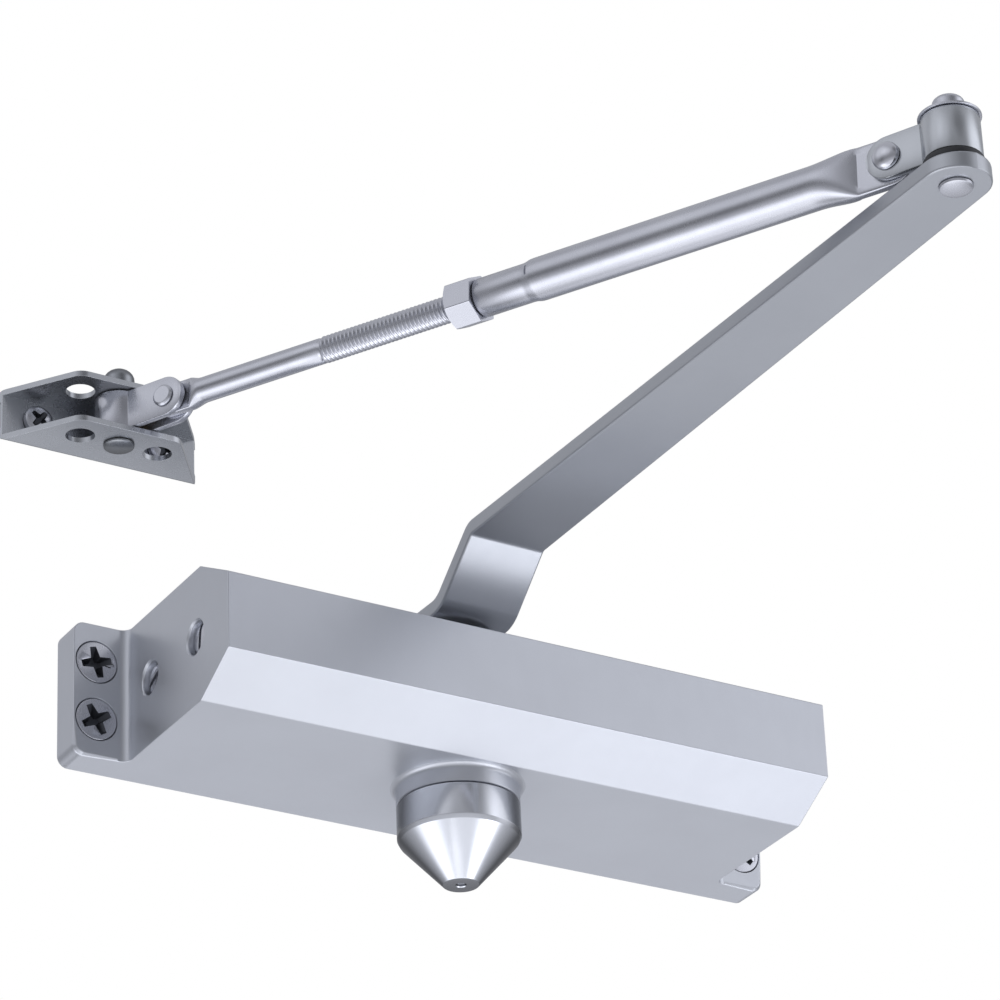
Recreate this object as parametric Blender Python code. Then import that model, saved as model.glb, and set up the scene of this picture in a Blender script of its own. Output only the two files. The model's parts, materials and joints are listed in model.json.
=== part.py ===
"""Surface-mounted door closer: hydraulic rack-and-pinion body, main arm, adjustable forearm and shoe.

The door's face is the plane y = 0, +X runs along the body, +Z is up, and the origin is the middle
of the body's back face, straight behind the pinion.
"""

from math import acos, atan2, ceil, cos, hypot, pi, radians, sin, sqrt, tan

import bmesh
import bpy
from mathutils import Euler, Matrix, Vector

MM = 0.001

# Clearance between mating pieces, how far a cutter reaches past a face, and how far joined shapes overlap.
GAP = 0.3 * MM
OVER = 1.0 * MM
OVERLAP = 0.5 * MM

# Body, seen along X: a block whose two front edges are cut back.
BODY_LEFT = 98.5 * MM
BODY_RIGHT = 111.0 * MM
BODY_HEIGHT = 44.2 * MM
BODY_DEPTH = 77.8 * MM
FRONT_FACE_HEIGHT = 24.8 * MM
FRONT_CUT_DEPTH = 17.8 * MM

# Ears that take the fixing screws.
EAR_REACH = 18.0 * MM
EAR_THICKNESS = 11.6 * MM
EAR_CORNER_RADIUS = 3.5 * MM
EAR_FILLET = 3.0 * MM
BODY_SCREW_OFFSET = 10.35 * MM
BODY_SCREW_PITCH = 19.05 * MM

# Piston bore, its wall and the plug that closes it.
BORE_RADIUS = 17.0 * MM
LEFT_WALL = 32.5 * MM
PLUG_LENGTH = 13.0 * MM
PLUG_RADIUS = 18.6 * MM
PLUG_GROOVE_DEPTH = 2.0 * MM
PLUG_GROOVE_WIDTH = 2.4 * MM
PLUG_GROOVE_INSET = 4.0 * MM
PLUG_KEY_HOLE_RADIUS = 2.0 * MM
PLUG_KEY_HOLE_SPACING = 18.0 * MM
PLUG_KEY_HOLE_DEPTH = 4.0 * MM

# Pinion and rack.
PINION_TEETH = 12
PINION_MODULE = 1.5 * MM
PRESSURE_ANGLE = radians(20)
TOOTH_THINNING = 0.35 * MM
RACK_ADDENDUM = 1.0 * MM
ROOT_CLEARANCE = 0.4 * MM
GEAR_HALF_HEIGHT = 12.0 * MM
JOURNAL_RADIUS = 7.2 * MM
ARM_SQUARE = 10.0 * MM
CAP_SQUARE = 8.0 * MM
LOWER_END_REACH = 17.9 * MM
PINION_SWING = radians(170)

# Piston.
PISTON_LEFT_HEAD = 23.5 * MM
PISTON_RIGHT_HEAD = 16.0 * MM
SLOT_CLEARANCE = 1.0 * MM
PISTON_END_SPACE = 4.0 * MM
OIL_PORT_RADIUS = 2.0 * MM
CHECK_BORE_RADIUS = 5.0 * MM
CHECK_BORE_DEPTH = 12.0 * MM
CHECK_SEAT_LENGTH = 5.0 * MM
CHECK_BALL_RADIUS = 3.2 * MM

# Spring.
SPRING_WIRE_RADIUS = 2.2 * MM
SPRING_MEAN_RADIUS = 13.6 * MM
SPRING_TURNS = 8.5
SPRING_CLOSED_TURNS = 1.0
SPRING_STEPS_PER_TURN = 15
SPRING_WIRE_SIDES = 6

# Bearings, seals and the rings that hold them.
BEARING_RING_RADIUS = 12.5 * MM
BEARING_RING_WALL = 2.2 * MM
BEARING_RING_RISE = 4.9 * MM
BEARING_RING_LIP = 1.2 * MM
BUSH_LENGTH = 5.3 * MM
BORE_TO_RING = 0.3 * MM

# Lower boss and the cap under it.
BOSS_RADIUS = 19.0 * MM
BOSS_HEIGHT = 6.0 * MM
CAP_STRAIGHT = 10.4 * MM
CAP_EDGE = 1.3 * MM
CAP_CONE_HEIGHT = 14.2 * MM
CAP_TIP_RADIUS = 5.5 * MM
CAP_WALL = 1.7 * MM
CAP_FLOOR = 2.4 * MM
CAP_DIMPLE_RADIUS = 1.6 * MM
CAP_DIMPLE_DEPTH = 1.0 * MM

# Regulating valves in the left end face.
VALVE_SPACING = 30.0 * MM
VALVE_CENTRE_SHIFT = -2.6 * MM
VALVE_HOLE_RADIUS = 5.4 * MM
VALVE_HOLE_DEPTH = 12.0 * MM
VALVE_SHANK_RADIUS = 3.4 * MM
VALVE_SHANK_DEPTH = 9.0 * MM
VALVE_HEAD_LENGTH = 5.5 * MM
VALVE_HEAD_INSET = 1.6 * MM
VALVE_SLOT_WIDTH = 1.5 * MM
VALVE_SLOT_DEPTH = 1.8 * MM
VALVE_TIP_RADIUS = 1.0 * MM
VALVE_PORT_RADIUS = 1.6 * MM
VALVE_PORT_SHIFT = 1.4 * MM
PORT_OVERLAP = 2.0 * MM
VALVE_TIP_LENGTH = 4.0 * MM

# Main arm.
ARM_ANGLE = radians(-89.0)
ARM_LENGTH = 267.4 * MM
ARM_THICKNESS = 5.05 * MM
HUB_UNDERSIDE = 29.15 * MM
BAR_UNDERSIDE = 46.4 * MM
ARM_SLOPE = radians(41.2)
ARM_LOWER_BEND = 9.5 * MM
ARM_UPPER_BEND = 4.8 * MM
ARM_UPPER_BEND_REACH = 34.4 * MM
ARM_HUB_WIDTH = 27.2 * MM
ARM_END_WIDTH = 20.0 * MM
ARM_SCREW_RADIUS = 3.0 * MM
ARM_SCREW_HEAD_RADIUS = 5.0 * MM
ARM_SCREW_HEAD_HEIGHT = 5.0 * MM
ARM_SCREW_LENGTH = 12.0 * MM
ARM_SCREW_END_SPACE = 2.0 * MM
ARM_SCREW_SOCKET_RADIUS = 2.9 * MM
ARM_SCREW_SOCKET_DEPTH = 2.8 * MM
ARM_WASHER_RADIUS = 8.5 * MM
ARM_WASHER_THICKNESS = 1.4 * MM

# Elbow: pin, washers, bush and strap.
ELBOW_PIN_RADIUS = 4.2 * MM
ELBOW_BUTTON_RADIUS = 4.8 * MM
ELBOW_BUTTON_HEIGHT = 0.9 * MM
ELBOW_HEAD_RADIUS = 4.5 * MM
ELBOW_HEAD_HEIGHT = 6.2 * MM
PIN_DOME_HEIGHT = 2.6 * MM
PIN_FOOT_SHARE = 0.88
ELBOW_SPACER_RADIUS = 8.6 * MM
ELBOW_SPACER_THICKNESS = 2.15 * MM
ELBOW_WASHER_RADIUS = 8.9 * MM
ELBOW_WASHER_THICKNESS = 0.7 * MM
ELBOW_BUSH_WALL = 1.5 * MM
ELBOW_STRAP_HEIGHT = 13.1 * MM
ELBOW_RIVET_OFFSET = 18.1 * MM
STRAP_THICKNESS = 2.0 * MM
TONGUE_THICKNESS = 3.0 * MM
RIVET_RADIUS = 2.5 * MM
ELBOW_RIVET_HEAD_RADIUS = 4.1 * MM
ELBOW_RIVET_HEAD_HEIGHT = 2.6 * MM

# Forearm: tube, lock nut and threaded rod, measured along its axis from the elbow rivet.
FOREARM_ANGLE = radians(116.5)
PIN_TO_PIN = 283.2 * MM
TUBE_RADIUS = 6.3 * MM
TUBE_BORE_RADIUS = 4.3 * MM
TUBE_BORE_LENGTH = 96.0 * MM
TUBE_TONGUE_LENGTH = 11.0 * MM
TUBE_TONGUE_HEIGHT = 15.4 * MM
TONGUE_SQUARENESS = 0.35
TUBE_FLARE_LENGTH = 14.0 * MM
NECK_START = 116.0 * MM
NECK_STEP = 2.0 * MM
NECK_RADIUS = 5.75 * MM
TUBE_LENGTH = 134.5 * MM
NUT_LENGTH = 9.0 * MM
NUT_ACROSS_FLATS = 13.0 * MM
NUT_CHAMFER = 0.9 * MM
THREAD_RADIUS = 4.0 * MM
THREAD_IN_TUBE = 50.0 * MM
THREAD_END = 189.2 * MM
ROD_RADIUS = 3.85 * MM
ROD_TONGUE_LENGTH = 7.5 * MM
ROD_TONGUE_HEIGHT = 10.0 * MM
ROD_FLARE_LENGTH = 5.0 * MM
ROD_CHAMFER = 1.0 * MM

# Shoe end: yoke, bush, pin and bracket.
SHOE_UNDERSIDE = 61.0 * MM
YOKE_HEIGHT = 12.7 * MM
YOKE_RIVET_OFFSET = 19.6 * MM
YOKE_BUSH_WALL = 0.7 * MM
YOKE_RIVET_HEAD_RADIUS = 3.4 * MM
YOKE_RIVET_HEAD_HEIGHT = 1.0 * MM
SHOE_PIN_RADIUS = 4.0 * MM
SHOE_PIN_HEAD_RADIUS = 4.7 * MM
SHOE_PIN_HEAD_HEIGHT = 8.3 * MM
SHOE_PIN_BUTTON_HEIGHT = 0.8 * MM
SHOE_PIN_TO_BACK = 14.0 * MM
SHOE_THICKNESS = 1.8 * MM
SHOE_DEPTH = 23.3 * MM
SHOE_BACK_LENGTH = 66.6 * MM
SHOE_FRONT_LENGTH = 33.0 * MM
SHOE_NOSE_RADIUS = 5.0 * MM
SHOE_SIDE_SHIFT = -0.6 * MM
SHOE_HOLE_RADIUS = 4.4 * MM
SHOE_HOLE_SPACING = 25.6 * MM
SHOE_SCREW_SPACING = 41.6 * MM

# Screws.
BODY_SCREW_HEAD_RADIUS = 6.7 * MM
BODY_SCREW_HEAD_HEIGHT = 3.6 * MM
BODY_SCREW_SHANK_RADIUS = 3.0 * MM
BODY_SCREW_LENGTH = 22.0 * MM
BODY_SCREW_RIM = 0.5 * MM
BODY_SCREW_CROSS_DEPTH = 2.2 * MM
SHOE_SCREW_HEAD_RADIUS = 4.6 * MM
SHOE_SCREW_HEAD_HEIGHT = 2.4 * MM
SHOE_SCREW_FACE_SHARE = 0.75
SHOE_SCREW_CROSS_DEPTH = 1.4 * MM
SHOE_SCREW_SHANK_RADIUS = 2.1 * MM
SHOE_SCREW_LENGTH = 13.5 * MM
SCREW_TIP_LENGTH = 5.0 * MM
SCREW_TIP_SHARE = 0.25
CROSS_WIDTH_SHARE = 0.24
CROSS_REACH_SHARE = 0.62

# Sides of a full turn, from the smallest holes to the largest round pieces.
SMALL = 12
COARSE = 20
TUBE_SIDES = 24
MEDIUM = 28
FINE = 36
O_RING_SIDES = 6

# Sizes that follow from the ones above.
TOP = BODY_HEIGHT / 2
PINION_Y = -BODY_DEPTH / 2
PITCH_RADIUS = PINION_MODULE * PINION_TEETH / 2
TIP_RADIUS = PITCH_RADIUS + PINION_MODULE
ROOT_RADIUS = PITCH_RADIUS - RACK_ADDENDUM - ROOT_CLEARANCE
TOOTH_PITCH = PINION_MODULE * pi
STROKE = PITCH_RADIUS * PINION_SWING
SLOT_LEFT = -(STROKE + TIP_RADIUS + SLOT_CLEARANCE)
SLOT_RIGHT = TIP_RADIUS + SLOT_CLEARANCE
PISTON_LEFT = SLOT_LEFT - PISTON_LEFT_HEAD
PISTON_RIGHT = SLOT_RIGHT + PISTON_RIGHT_HEAD
PISTON_RADIUS = BORE_RADIUS - GAP
BORE_LEFT = min(PISTON_LEFT - PISTON_END_SPACE, -BODY_LEFT + LEFT_WALL)
PLUG_INNER = BODY_RIGHT - PLUG_LENGTH
RING_INNER = BORE_RADIUS + BORE_TO_RING
RING_OUTER = TOP + BEARING_RING_RISE
SEAT_RADIUS = BEARING_RING_RADIUS - BEARING_RING_WALL
HUB_TOP = HUB_UNDERSIDE + ARM_THICKNESS
BAR_TOP = BAR_UNDERSIDE + ARM_THICKNESS
STRAP_BOTTOM = BAR_TOP + GAP + ELBOW_SPACER_THICKNESS + GAP
STRAP_TOP = STRAP_BOTTOM + ELBOW_STRAP_HEIGHT
STRAP_MIDDLE = (STRAP_BOTTOM + STRAP_TOP) / 2
ELBOW_BUSH_RADIUS = ELBOW_PIN_RADIUS + GAP + ELBOW_BUSH_WALL
ELBOW_LOOP_BORE = ELBOW_BUSH_RADIUS + GAP
SHOE_INSIDE_BOTTOM = SHOE_UNDERSIDE + SHOE_THICKNESS
YOKE_BOTTOM = SHOE_INSIDE_BOTTOM + GAP
YOKE_MIDDLE = YOKE_BOTTOM + YOKE_HEIGHT / 2
SHOE_INSIDE_TOP = YOKE_BOTTOM + YOKE_HEIGHT + GAP
SHOE_TOP = SHOE_INSIDE_TOP + SHOE_THICKNESS
YOKE_BUSH_RADIUS = SHOE_PIN_RADIUS + GAP + YOKE_BUSH_WALL
YOKE_LOOP_BORE = YOKE_BUSH_RADIUS + GAP
LEG_INNER = TONGUE_THICKNESS / 2 + GAP
LEG_OUTER = LEG_INNER + STRAP_THICKNESS
RIVET_RUN = PIN_TO_PIN - ELBOW_RIVET_OFFSET - YOKE_RIVET_OFFSET
FOREARM_TILT = atan2(YOKE_MIDDLE - STRAP_MIDDLE, RIVET_RUN)
FOREARM_LENGTH = hypot(RIVET_RUN, YOKE_MIDDLE - STRAP_MIDDLE)
CAP_TOP = -(TOP + BOSS_HEIGHT + GAP)


# ---------------------------------------------------------------- tools

def clear_scene():
    for old in list(bpy.data.objects):
        bpy.data.objects.remove(old, do_unlink=True)


def make_material(name, colour, roughness, metallic):
    material = bpy.data.materials.new(name)
    material.use_nodes = True
    shader = material.node_tree.nodes["Principled BSDF"]
    shader.inputs["Base Color"].default_value = (*colour, 1.0)
    shader.inputs["Roughness"].default_value = roughness
    shader.inputs["Metallic"].default_value = metallic
    return material


def empty(name, parent, location, rotation=(0.0, 0.0, 0.0)):
    """An axis marker: moving pieces hang under the one that sits on their joint's axis."""
    marker = bpy.data.objects.new(name, None)
    bpy.context.scene.collection.objects.link(marker)
    marker.parent = parent
    marker.location = location
    marker.rotation_euler = Euler(rotation)
    return marker


def add_object(name, shape, parent, material):
    """Turns a bmesh into a named object with its faces pointing out and its round sides smooth."""
    bmesh.ops.recalc_face_normals(shape, faces=shape.faces)
    mesh = bpy.data.meshes.new(name)
    shape.to_mesh(mesh)
    shape.free()
    mesh.shade_smooth()
    mesh.set_sharp_from_angle(angle=radians(32))
    piece = bpy.data.objects.new(name, mesh)
    bpy.context.scene.collection.objects.link(piece)
    piece.parent = parent
    if material:
        mesh.materials.append(material)
    return piece


def combine(target, operation, shape):
    """Cuts a bmesh from the target, or joins it on, with an exact Boolean."""
    tool = add_object(f"{target.name}.{operation.lower()}", shape, target.parent, None)
    tool.hide_render = True
    tool.display_type = "WIRE"
    modifier = target.modifiers.new(operation.title(), "BOOLEAN")
    modifier.operation = operation
    modifier.solver = "EXACT"
    modifier.object = tool


def cut(target, *shapes):
    for shape in shapes:
        combine(target, "DIFFERENCE", shape)


def join(target, *shapes):
    for shape in shapes:
        combine(target, "UNION", shape)


PLANES = {
    "XY": Matrix(((1, 0, 0), (0, 1, 0), (0, 0, 1))),
    "XZ": Matrix(((1, 0, 0), (0, 0, 1), (0, 1, 0))),
    "YZ": Matrix(((0, 0, 1), (1, 0, 0), (0, 1, 0))),
}
AXES = {
    "X": Matrix(((0, 0, 1), (1, 0, 0), (0, 1, 0))),
    "Y": Matrix(((0, 1, 0), (0, 0, 1), (1, 0, 0))),
    "Z": Matrix(((1, 0, 0), (0, 1, 0), (0, 0, 1))),
}


def prism(outline, low, high, plane="XY"):
    """A closed outline in the plane, drawn out from low to high along the plane's normal."""
    shape = bmesh.new()
    turn = PLANES[plane]
    rings = []
    for level in (low, high):
        rings.append([shape.verts.new(turn @ Vector((a, b, level))) for a, b in outline])
    count = len(outline)
    shape.faces.new(rings[0])
    shape.faces.new(rings[1])
    for i in range(count):
        j = (i + 1) % count
        shape.faces.new((rings[0][i], rings[0][j], rings[1][j], rings[1][i]))
    return shape


def turned(profile, axis="Z", centre=(0.0, 0.0, 0.0), sides=MEDIUM):
    """A solid of revolution from (radius, height) points; off the axis, the profile closes on itself."""
    shape = bmesh.new()
    turn = AXES[axis]
    middle = Vector(centre)
    rings = []
    for radius, height in profile:
        if radius == 0.0:
            rings.append([shape.verts.new(turn @ Vector((0.0, 0.0, height)) + middle)])
            continue
        ring = []
        for k in range(sides):
            angle = 2 * pi * (k + 0.5) / sides
            point = Vector((radius * cos(angle), radius * sin(angle), height))
            ring.append(shape.verts.new(turn @ point + middle))
        rings.append(ring)
    pairs = list(zip(rings, rings[1:]))
    if profile[0][0] != 0.0:
        pairs.append((rings[-1], rings[0]))
    for first, second in pairs:
        for k in range(sides):
            m = (k + 1) % sides
            corners = [first[k % len(first)], first[m % len(first)]]
            corners += [second[m % len(second)], second[k % len(second)]]
            unique = [corner for i, corner in enumerate(corners) if corner not in corners[:i]]
            if len(unique) > 2:
                shape.faces.new(unique)
    return shape


def rod_shape(radius, low, high, axis="Z", centre=(0.0, 0.0, 0.0), sides=MEDIUM):
    return turned([(0.0, low), (radius, low), (radius, high), (0.0, high)], axis, centre, sides)


def ring_shape(inner, outer, low, high, axis="Z", centre=(0.0, 0.0, 0.0), sides=MEDIUM):
    return turned([(inner, low), (outer, low), (outer, high), (inner, high)], axis, centre, sides)


def box(low, high):
    outline = [(low[0], low[1]), (high[0], low[1]), (high[0], high[1]), (low[0], high[1])]
    return prism(outline, low[2], high[2])


def arc(centre, radius, start, end, steps):
    """Points along an arc, both ends included."""
    points = []
    for k in range(steps + 1):
        angle = start + (end - start) * k / steps
        points.append((centre[0] + radius * cos(angle), centre[1] + radius * sin(angle)))
    return points


def rounded(corners, radii, steps=5):
    """A polygon whose corners are rounded; a radius of 0 leaves a corner sharp."""
    outline = []
    count = len(corners)
    for i, radius in enumerate(radii):
        here = Vector(corners[i])
        if radius == 0.0:
            outline.append(tuple(here))
            continue
        before = (Vector(corners[i - 1]) - here).normalized()
        after = (Vector(corners[(i + 1) % count]) - here).normalized()
        half = acos(before.dot(after)) / 2
        centre = here + (before + after).normalized() * radius / sin(half)
        first = here + before * radius / tan(half) - centre
        last = here + after * radius / tan(half) - centre
        start = atan2(first.y, first.x)
        sweep = atan2(last.y, last.x) - start
        sweep = (sweep + pi) % (2 * pi) - pi
        outline += arc(centre, radius, start, start + sweep, steps)
    return outline


def domed_profile(radius, base, height, steps=4):
    """The (radius, height) points of a rivet's dome, from its rim to its top on the axis."""
    points = []
    for k in range(steps):
        angle = pi / 2 * k / steps
        points.append((radius * cos(angle), base + height * sin(angle)))
    points.append((0.0, base + height))
    return points


def cross_recess(radius, top, depth, axis_frame):
    """Two crossed bars that cut a cross recess into a screw head, in the frame of that head."""
    width = radius * CROSS_WIDTH_SHARE
    reach = radius * CROSS_REACH_SHARE
    outline = [
        (reach, -width), (reach, width), (width, width), (width, reach),
        (-width, reach), (-width, width), (-reach, width), (-reach, -width),
        (-width, -width), (-width, -reach), (width, -reach), (width, -width),
    ]
    shape = prism(outline, top - depth, top + depth)
    bmesh.ops.transform(shape, matrix=axis_frame, verts=shape.verts)
    return shape


# ---------------------------------------------------------------- housing

def whole_block():
    """The body and both ears as one block with rounded corners, before anything is cut from it."""
    left = -BODY_LEFT - EAR_REACH
    right = BODY_RIGHT + EAR_REACH
    corners = [(left, -TOP), (right, -TOP), (right, TOP), (left, TOP)]
    return prism(rounded(corners, [EAR_CORNER_RADIUS] * 4), -BODY_DEPTH, 0.0, "XZ")


def front_notch(end_x, side):
    """What is cut away in front of one ear, leaving a small fillet where the ear meets the body."""
    outer = end_x + side * (EAR_REACH + OVER)
    front = -BODY_DEPTH - OVER
    corners = [(outer, front), (end_x, front), (end_x, -EAR_THICKNESS), (outer, -EAR_THICKNESS)]
    return prism(rounded(corners, [0.0, 0.0, EAR_FILLET, 0.0]), -TOP - OVER, TOP + OVER)


def front_cut(side):
    """The slanted cut along the body's upper (side 1) or lower (side -1) front edge."""
    slope = (TOP - FRONT_FACE_HEIGHT / 2) / FRONT_CUT_DEPTH
    start = -BODY_DEPTH + FRONT_CUT_DEPTH + OVER
    front = -BODY_DEPTH - OVER
    high = side * (TOP + OVER * slope)
    low = side * (FRONT_FACE_HEIGHT / 2 - OVER * slope)
    clear = side * (TOP + 2 * OVER)
    outline = [(start, high), (front, low), (front, clear), (start, clear)]
    return prism(outline, -BODY_LEFT - OVER, BODY_RIGHT + OVER, "YZ")


def body_screw_places():
    places = []
    for x in (-BODY_LEFT - BODY_SCREW_OFFSET, BODY_RIGHT + BODY_SCREW_OFFSET):
        for z in (BODY_SCREW_PITCH / 2, -BODY_SCREW_PITCH / 2):
            places.append((x, -EAR_THICKNESS, z))
    return places


def body_screw_hole(place):
    """A countersunk clearance hole right through an ear."""
    rim = BODY_SCREW_HEAD_RADIUS + GAP
    neck = BODY_SCREW_SHANK_RADIUS + GAP
    back = EAR_THICKNESS + OVER
    profile = [
        (0.0, -OVER), (rim, -OVER), (rim, BODY_SCREW_RIM + GAP), (neck, BODY_SCREW_HEAD_HEIGHT + GAP),
        (neck, back), (0.0, back),
    ]
    return turned(profile, "Y", place, COARSE)


def valve_places():
    """Each valve's place and the side its oil port lies on."""
    middle = PINION_Y + VALVE_CENTRE_SHIFT
    return [(middle - VALVE_SPACING / 2, 1), (middle + VALVE_SPACING / 2, -1)]


def valve_pocket(y):
    face = -BODY_LEFT
    step = face + VALVE_HOLE_DEPTH
    bottom = step + VALVE_SHANK_DEPTH
    neck = VALVE_SHANK_RADIUS + GAP
    profile = [
        (0.0, face - OVER), (VALVE_HOLE_RADIUS, face - OVER), (VALVE_HOLE_RADIUS, step), (neck, step),
        (neck, bottom), (0.0, bottom),
    ]
    return turned(profile, "X", (0.0, y, 0.0), COARSE)


def valve_port(y, side):
    """The oil way from a valve's pocket to the closed end of the piston bore."""
    start = -BODY_LEFT + VALVE_HOLE_DEPTH + VALVE_SHANK_DEPTH - PORT_OVERLAP
    place = (0.0, y + side * VALVE_PORT_SHIFT, 0.0)
    return rod_shape(VALVE_PORT_RADIUS, start, BORE_LEFT + PORT_OVERLAP, "X", place, SMALL)


def make_housing(root, paint):
    housing = add_object("housing", whole_block(), root, paint)
    centre = (0.0, PINION_Y, 0.0)
    cut(housing, front_notch(-BODY_LEFT, -1), front_notch(BODY_RIGHT, 1), front_cut(1), front_cut(-1))
    for place in body_screw_places():
        cut(housing, body_screw_hole(place))
    for y, side in valve_places():
        cut(housing, valve_pocket(y), valve_port(y, side))
    end = BODY_RIGHT + OVER
    step = PLUG_INNER - GAP
    plug_hole = PLUG_RADIUS + GAP
    bore = [
        (0.0, BORE_LEFT), (BORE_RADIUS, BORE_LEFT), (BORE_RADIUS, step), (plug_hole, step), (plug_hole, end),
        (0.0, end),
    ]
    join(housing, rod_shape(BOSS_RADIUS, -TOP - BOSS_HEIGHT, -TOP + OVER, "Z", centre, FINE))
    cut(housing, turned(bore, "X", centre, FINE))
    ring_hole = BEARING_RING_RADIUS + GAP
    cut(housing, rod_shape(ring_hole, -TOP - BOSS_HEIGHT - OVER, TOP + OVER, "Z", centre, FINE))
    return housing


def make_end_plug(root, metal):
    """The screwed plug that closes the bore and backs the spring."""
    groove = PLUG_RADIUS - PLUG_GROOVE_DEPTH
    first = PLUG_INNER + PLUG_GROOVE_INSET
    second = first + PLUG_GROOVE_WIDTH
    profile = [
        (0.0, PLUG_INNER), (PLUG_RADIUS, PLUG_INNER), (PLUG_RADIUS, first), (groove, first),
        (groove, second), (PLUG_RADIUS, second), (PLUG_RADIUS, BODY_RIGHT), (0.0, BODY_RIGHT),
    ]
    plug = add_object("end_plug", turned(profile, "X", (0.0, PINION_Y, 0.0), FINE), root, metal)
    for side in (-1, 1):
        place = (0.0, PINION_Y + side * PLUG_KEY_HOLE_SPACING / 2, 0.0)
        hole_end = BODY_RIGHT - PLUG_KEY_HOLE_DEPTH
        cut(plug, rod_shape(PLUG_KEY_HOLE_RADIUS, hole_end, BODY_RIGHT + OVER, "X", place, SMALL))


def o_ring(name, parent, rubber, inner, outer, middle, centre):
    """A rubber ring round the X axis, of round section."""
    section = (outer - inner) / 2
    mean = (outer + inner) / 2
    profile = []
    for k in range(O_RING_SIDES):
        angle = 2 * pi * k / O_RING_SIDES
        profile.append((mean + section * cos(angle), middle + section * sin(angle)))
    add_object(name, turned(profile, "X", centre, COARSE), parent, rubber)


def make_end_plug_o_ring(root, rubber):
    inner = PLUG_RADIUS - PLUG_GROOVE_DEPTH + GAP
    outer = PLUG_RADIUS
    middle = PLUG_INNER + PLUG_GROOVE_INSET + PLUG_GROOVE_WIDTH / 2
    o_ring("end_plug_o_ring", root, rubber, inner, outer, middle, (0.0, PINION_Y, 0.0))


def mirrored(profile, side):
    return [(radius, side * height) for radius, height in profile]


def make_bearing_set(root, name, side, steel, bronze, rubber):
    """The screwed ring at one end of the pinion, with the bush and the lip seal that it holds."""
    centre = (0.0, PINION_Y, 0.0)
    lip = RING_OUTER - BEARING_RING_LIP
    hole = JOURNAL_RADIUS + GAP
    ring = [
        (SEAT_RADIUS, RING_INNER), (BEARING_RING_RADIUS, RING_INNER), (BEARING_RING_RADIUS, RING_OUTER),
        (hole + GAP, RING_OUTER), (hole + GAP, lip), (SEAT_RADIUS, lip),
    ]
    add_object(f"{name}_bearing_ring", turned(mirrored(ring, side), "Z", centre, MEDIUM), root, steel)
    fit = SEAT_RADIUS - GAP
    bush_top = RING_INNER + BUSH_LENGTH
    low, high = sorted((side * RING_INNER, side * bush_top))
    add_object(f"{name}_bearing_bush", ring_shape(hole, fit, low, high, "Z", centre, COARSE), root, bronze)
    low, high = sorted((side * (bush_top + GAP), side * (lip - GAP)))
    add_object(f"{name}_shaft_seal", ring_shape(hole, fit, low, high, "Z", centre, COARSE), root, rubber)


def make_pinion_cap(root, paint):
    """The hollow cap under the lower boss: a short cylinder, then a cone down to a flat tip."""
    shoulder = CAP_TOP - CAP_STRAIGHT
    cone_top = shoulder - CAP_EDGE
    tip = cone_top - CAP_CONE_HEIGHT
    inner = BOSS_RADIUS - CAP_WALL
    floor = tip + CAP_FLOOR
    floor_radius = CAP_TIP_RADIUS - CAP_WALL / 2
    profile = [
        (0.0, tip + CAP_DIMPLE_DEPTH), (CAP_DIMPLE_RADIUS, tip + CAP_DIMPLE_DEPTH), (CAP_DIMPLE_RADIUS, tip),
        (CAP_TIP_RADIUS, tip), (BOSS_RADIUS - CAP_EDGE / 2, cone_top), (BOSS_RADIUS, shoulder),
        (BOSS_RADIUS, CAP_TOP), (inner, CAP_TOP), (inner, shoulder), (floor_radius, floor), (0.0, floor),
    ]
    add_object("pinion_cap", turned(profile, "Z", (0.0, PINION_Y, 0.0), FINE), root, paint)


def screw_shape(head_radius, head_height, shank_radius, length, sides=COARSE):
    """A countersunk screw along +Y whose head's face is the plane y = 0."""
    tip = length - SCREW_TIP_LENGTH
    profile = [
        (0.0, 0.0), (head_radius, 0.0), (head_radius, BODY_SCREW_RIM), (shank_radius, head_height),
        (shank_radius, tip), (shank_radius * SCREW_TIP_SHARE, length), (0.0, length),
    ]
    return turned(profile, "Y", (0.0, 0.0, 0.0), sides)


def make_body_screws(root, steel):
    upright = Matrix.Rotation(pi / 2, 4, "X")
    for number, place in enumerate(body_screw_places(), 1):
        marker = empty(f"body_screw_axis_{number}", root, place)
        shape = screw_shape(
            BODY_SCREW_HEAD_RADIUS, BODY_SCREW_HEAD_HEIGHT, BODY_SCREW_SHANK_RADIUS, BODY_SCREW_LENGTH
        )
        screw = add_object(f"body_screw_{number}", shape, marker, steel)
        cut(screw, cross_recess(BODY_SCREW_HEAD_RADIUS, 0.0, BODY_SCREW_CROSS_DEPTH, upright))


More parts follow.
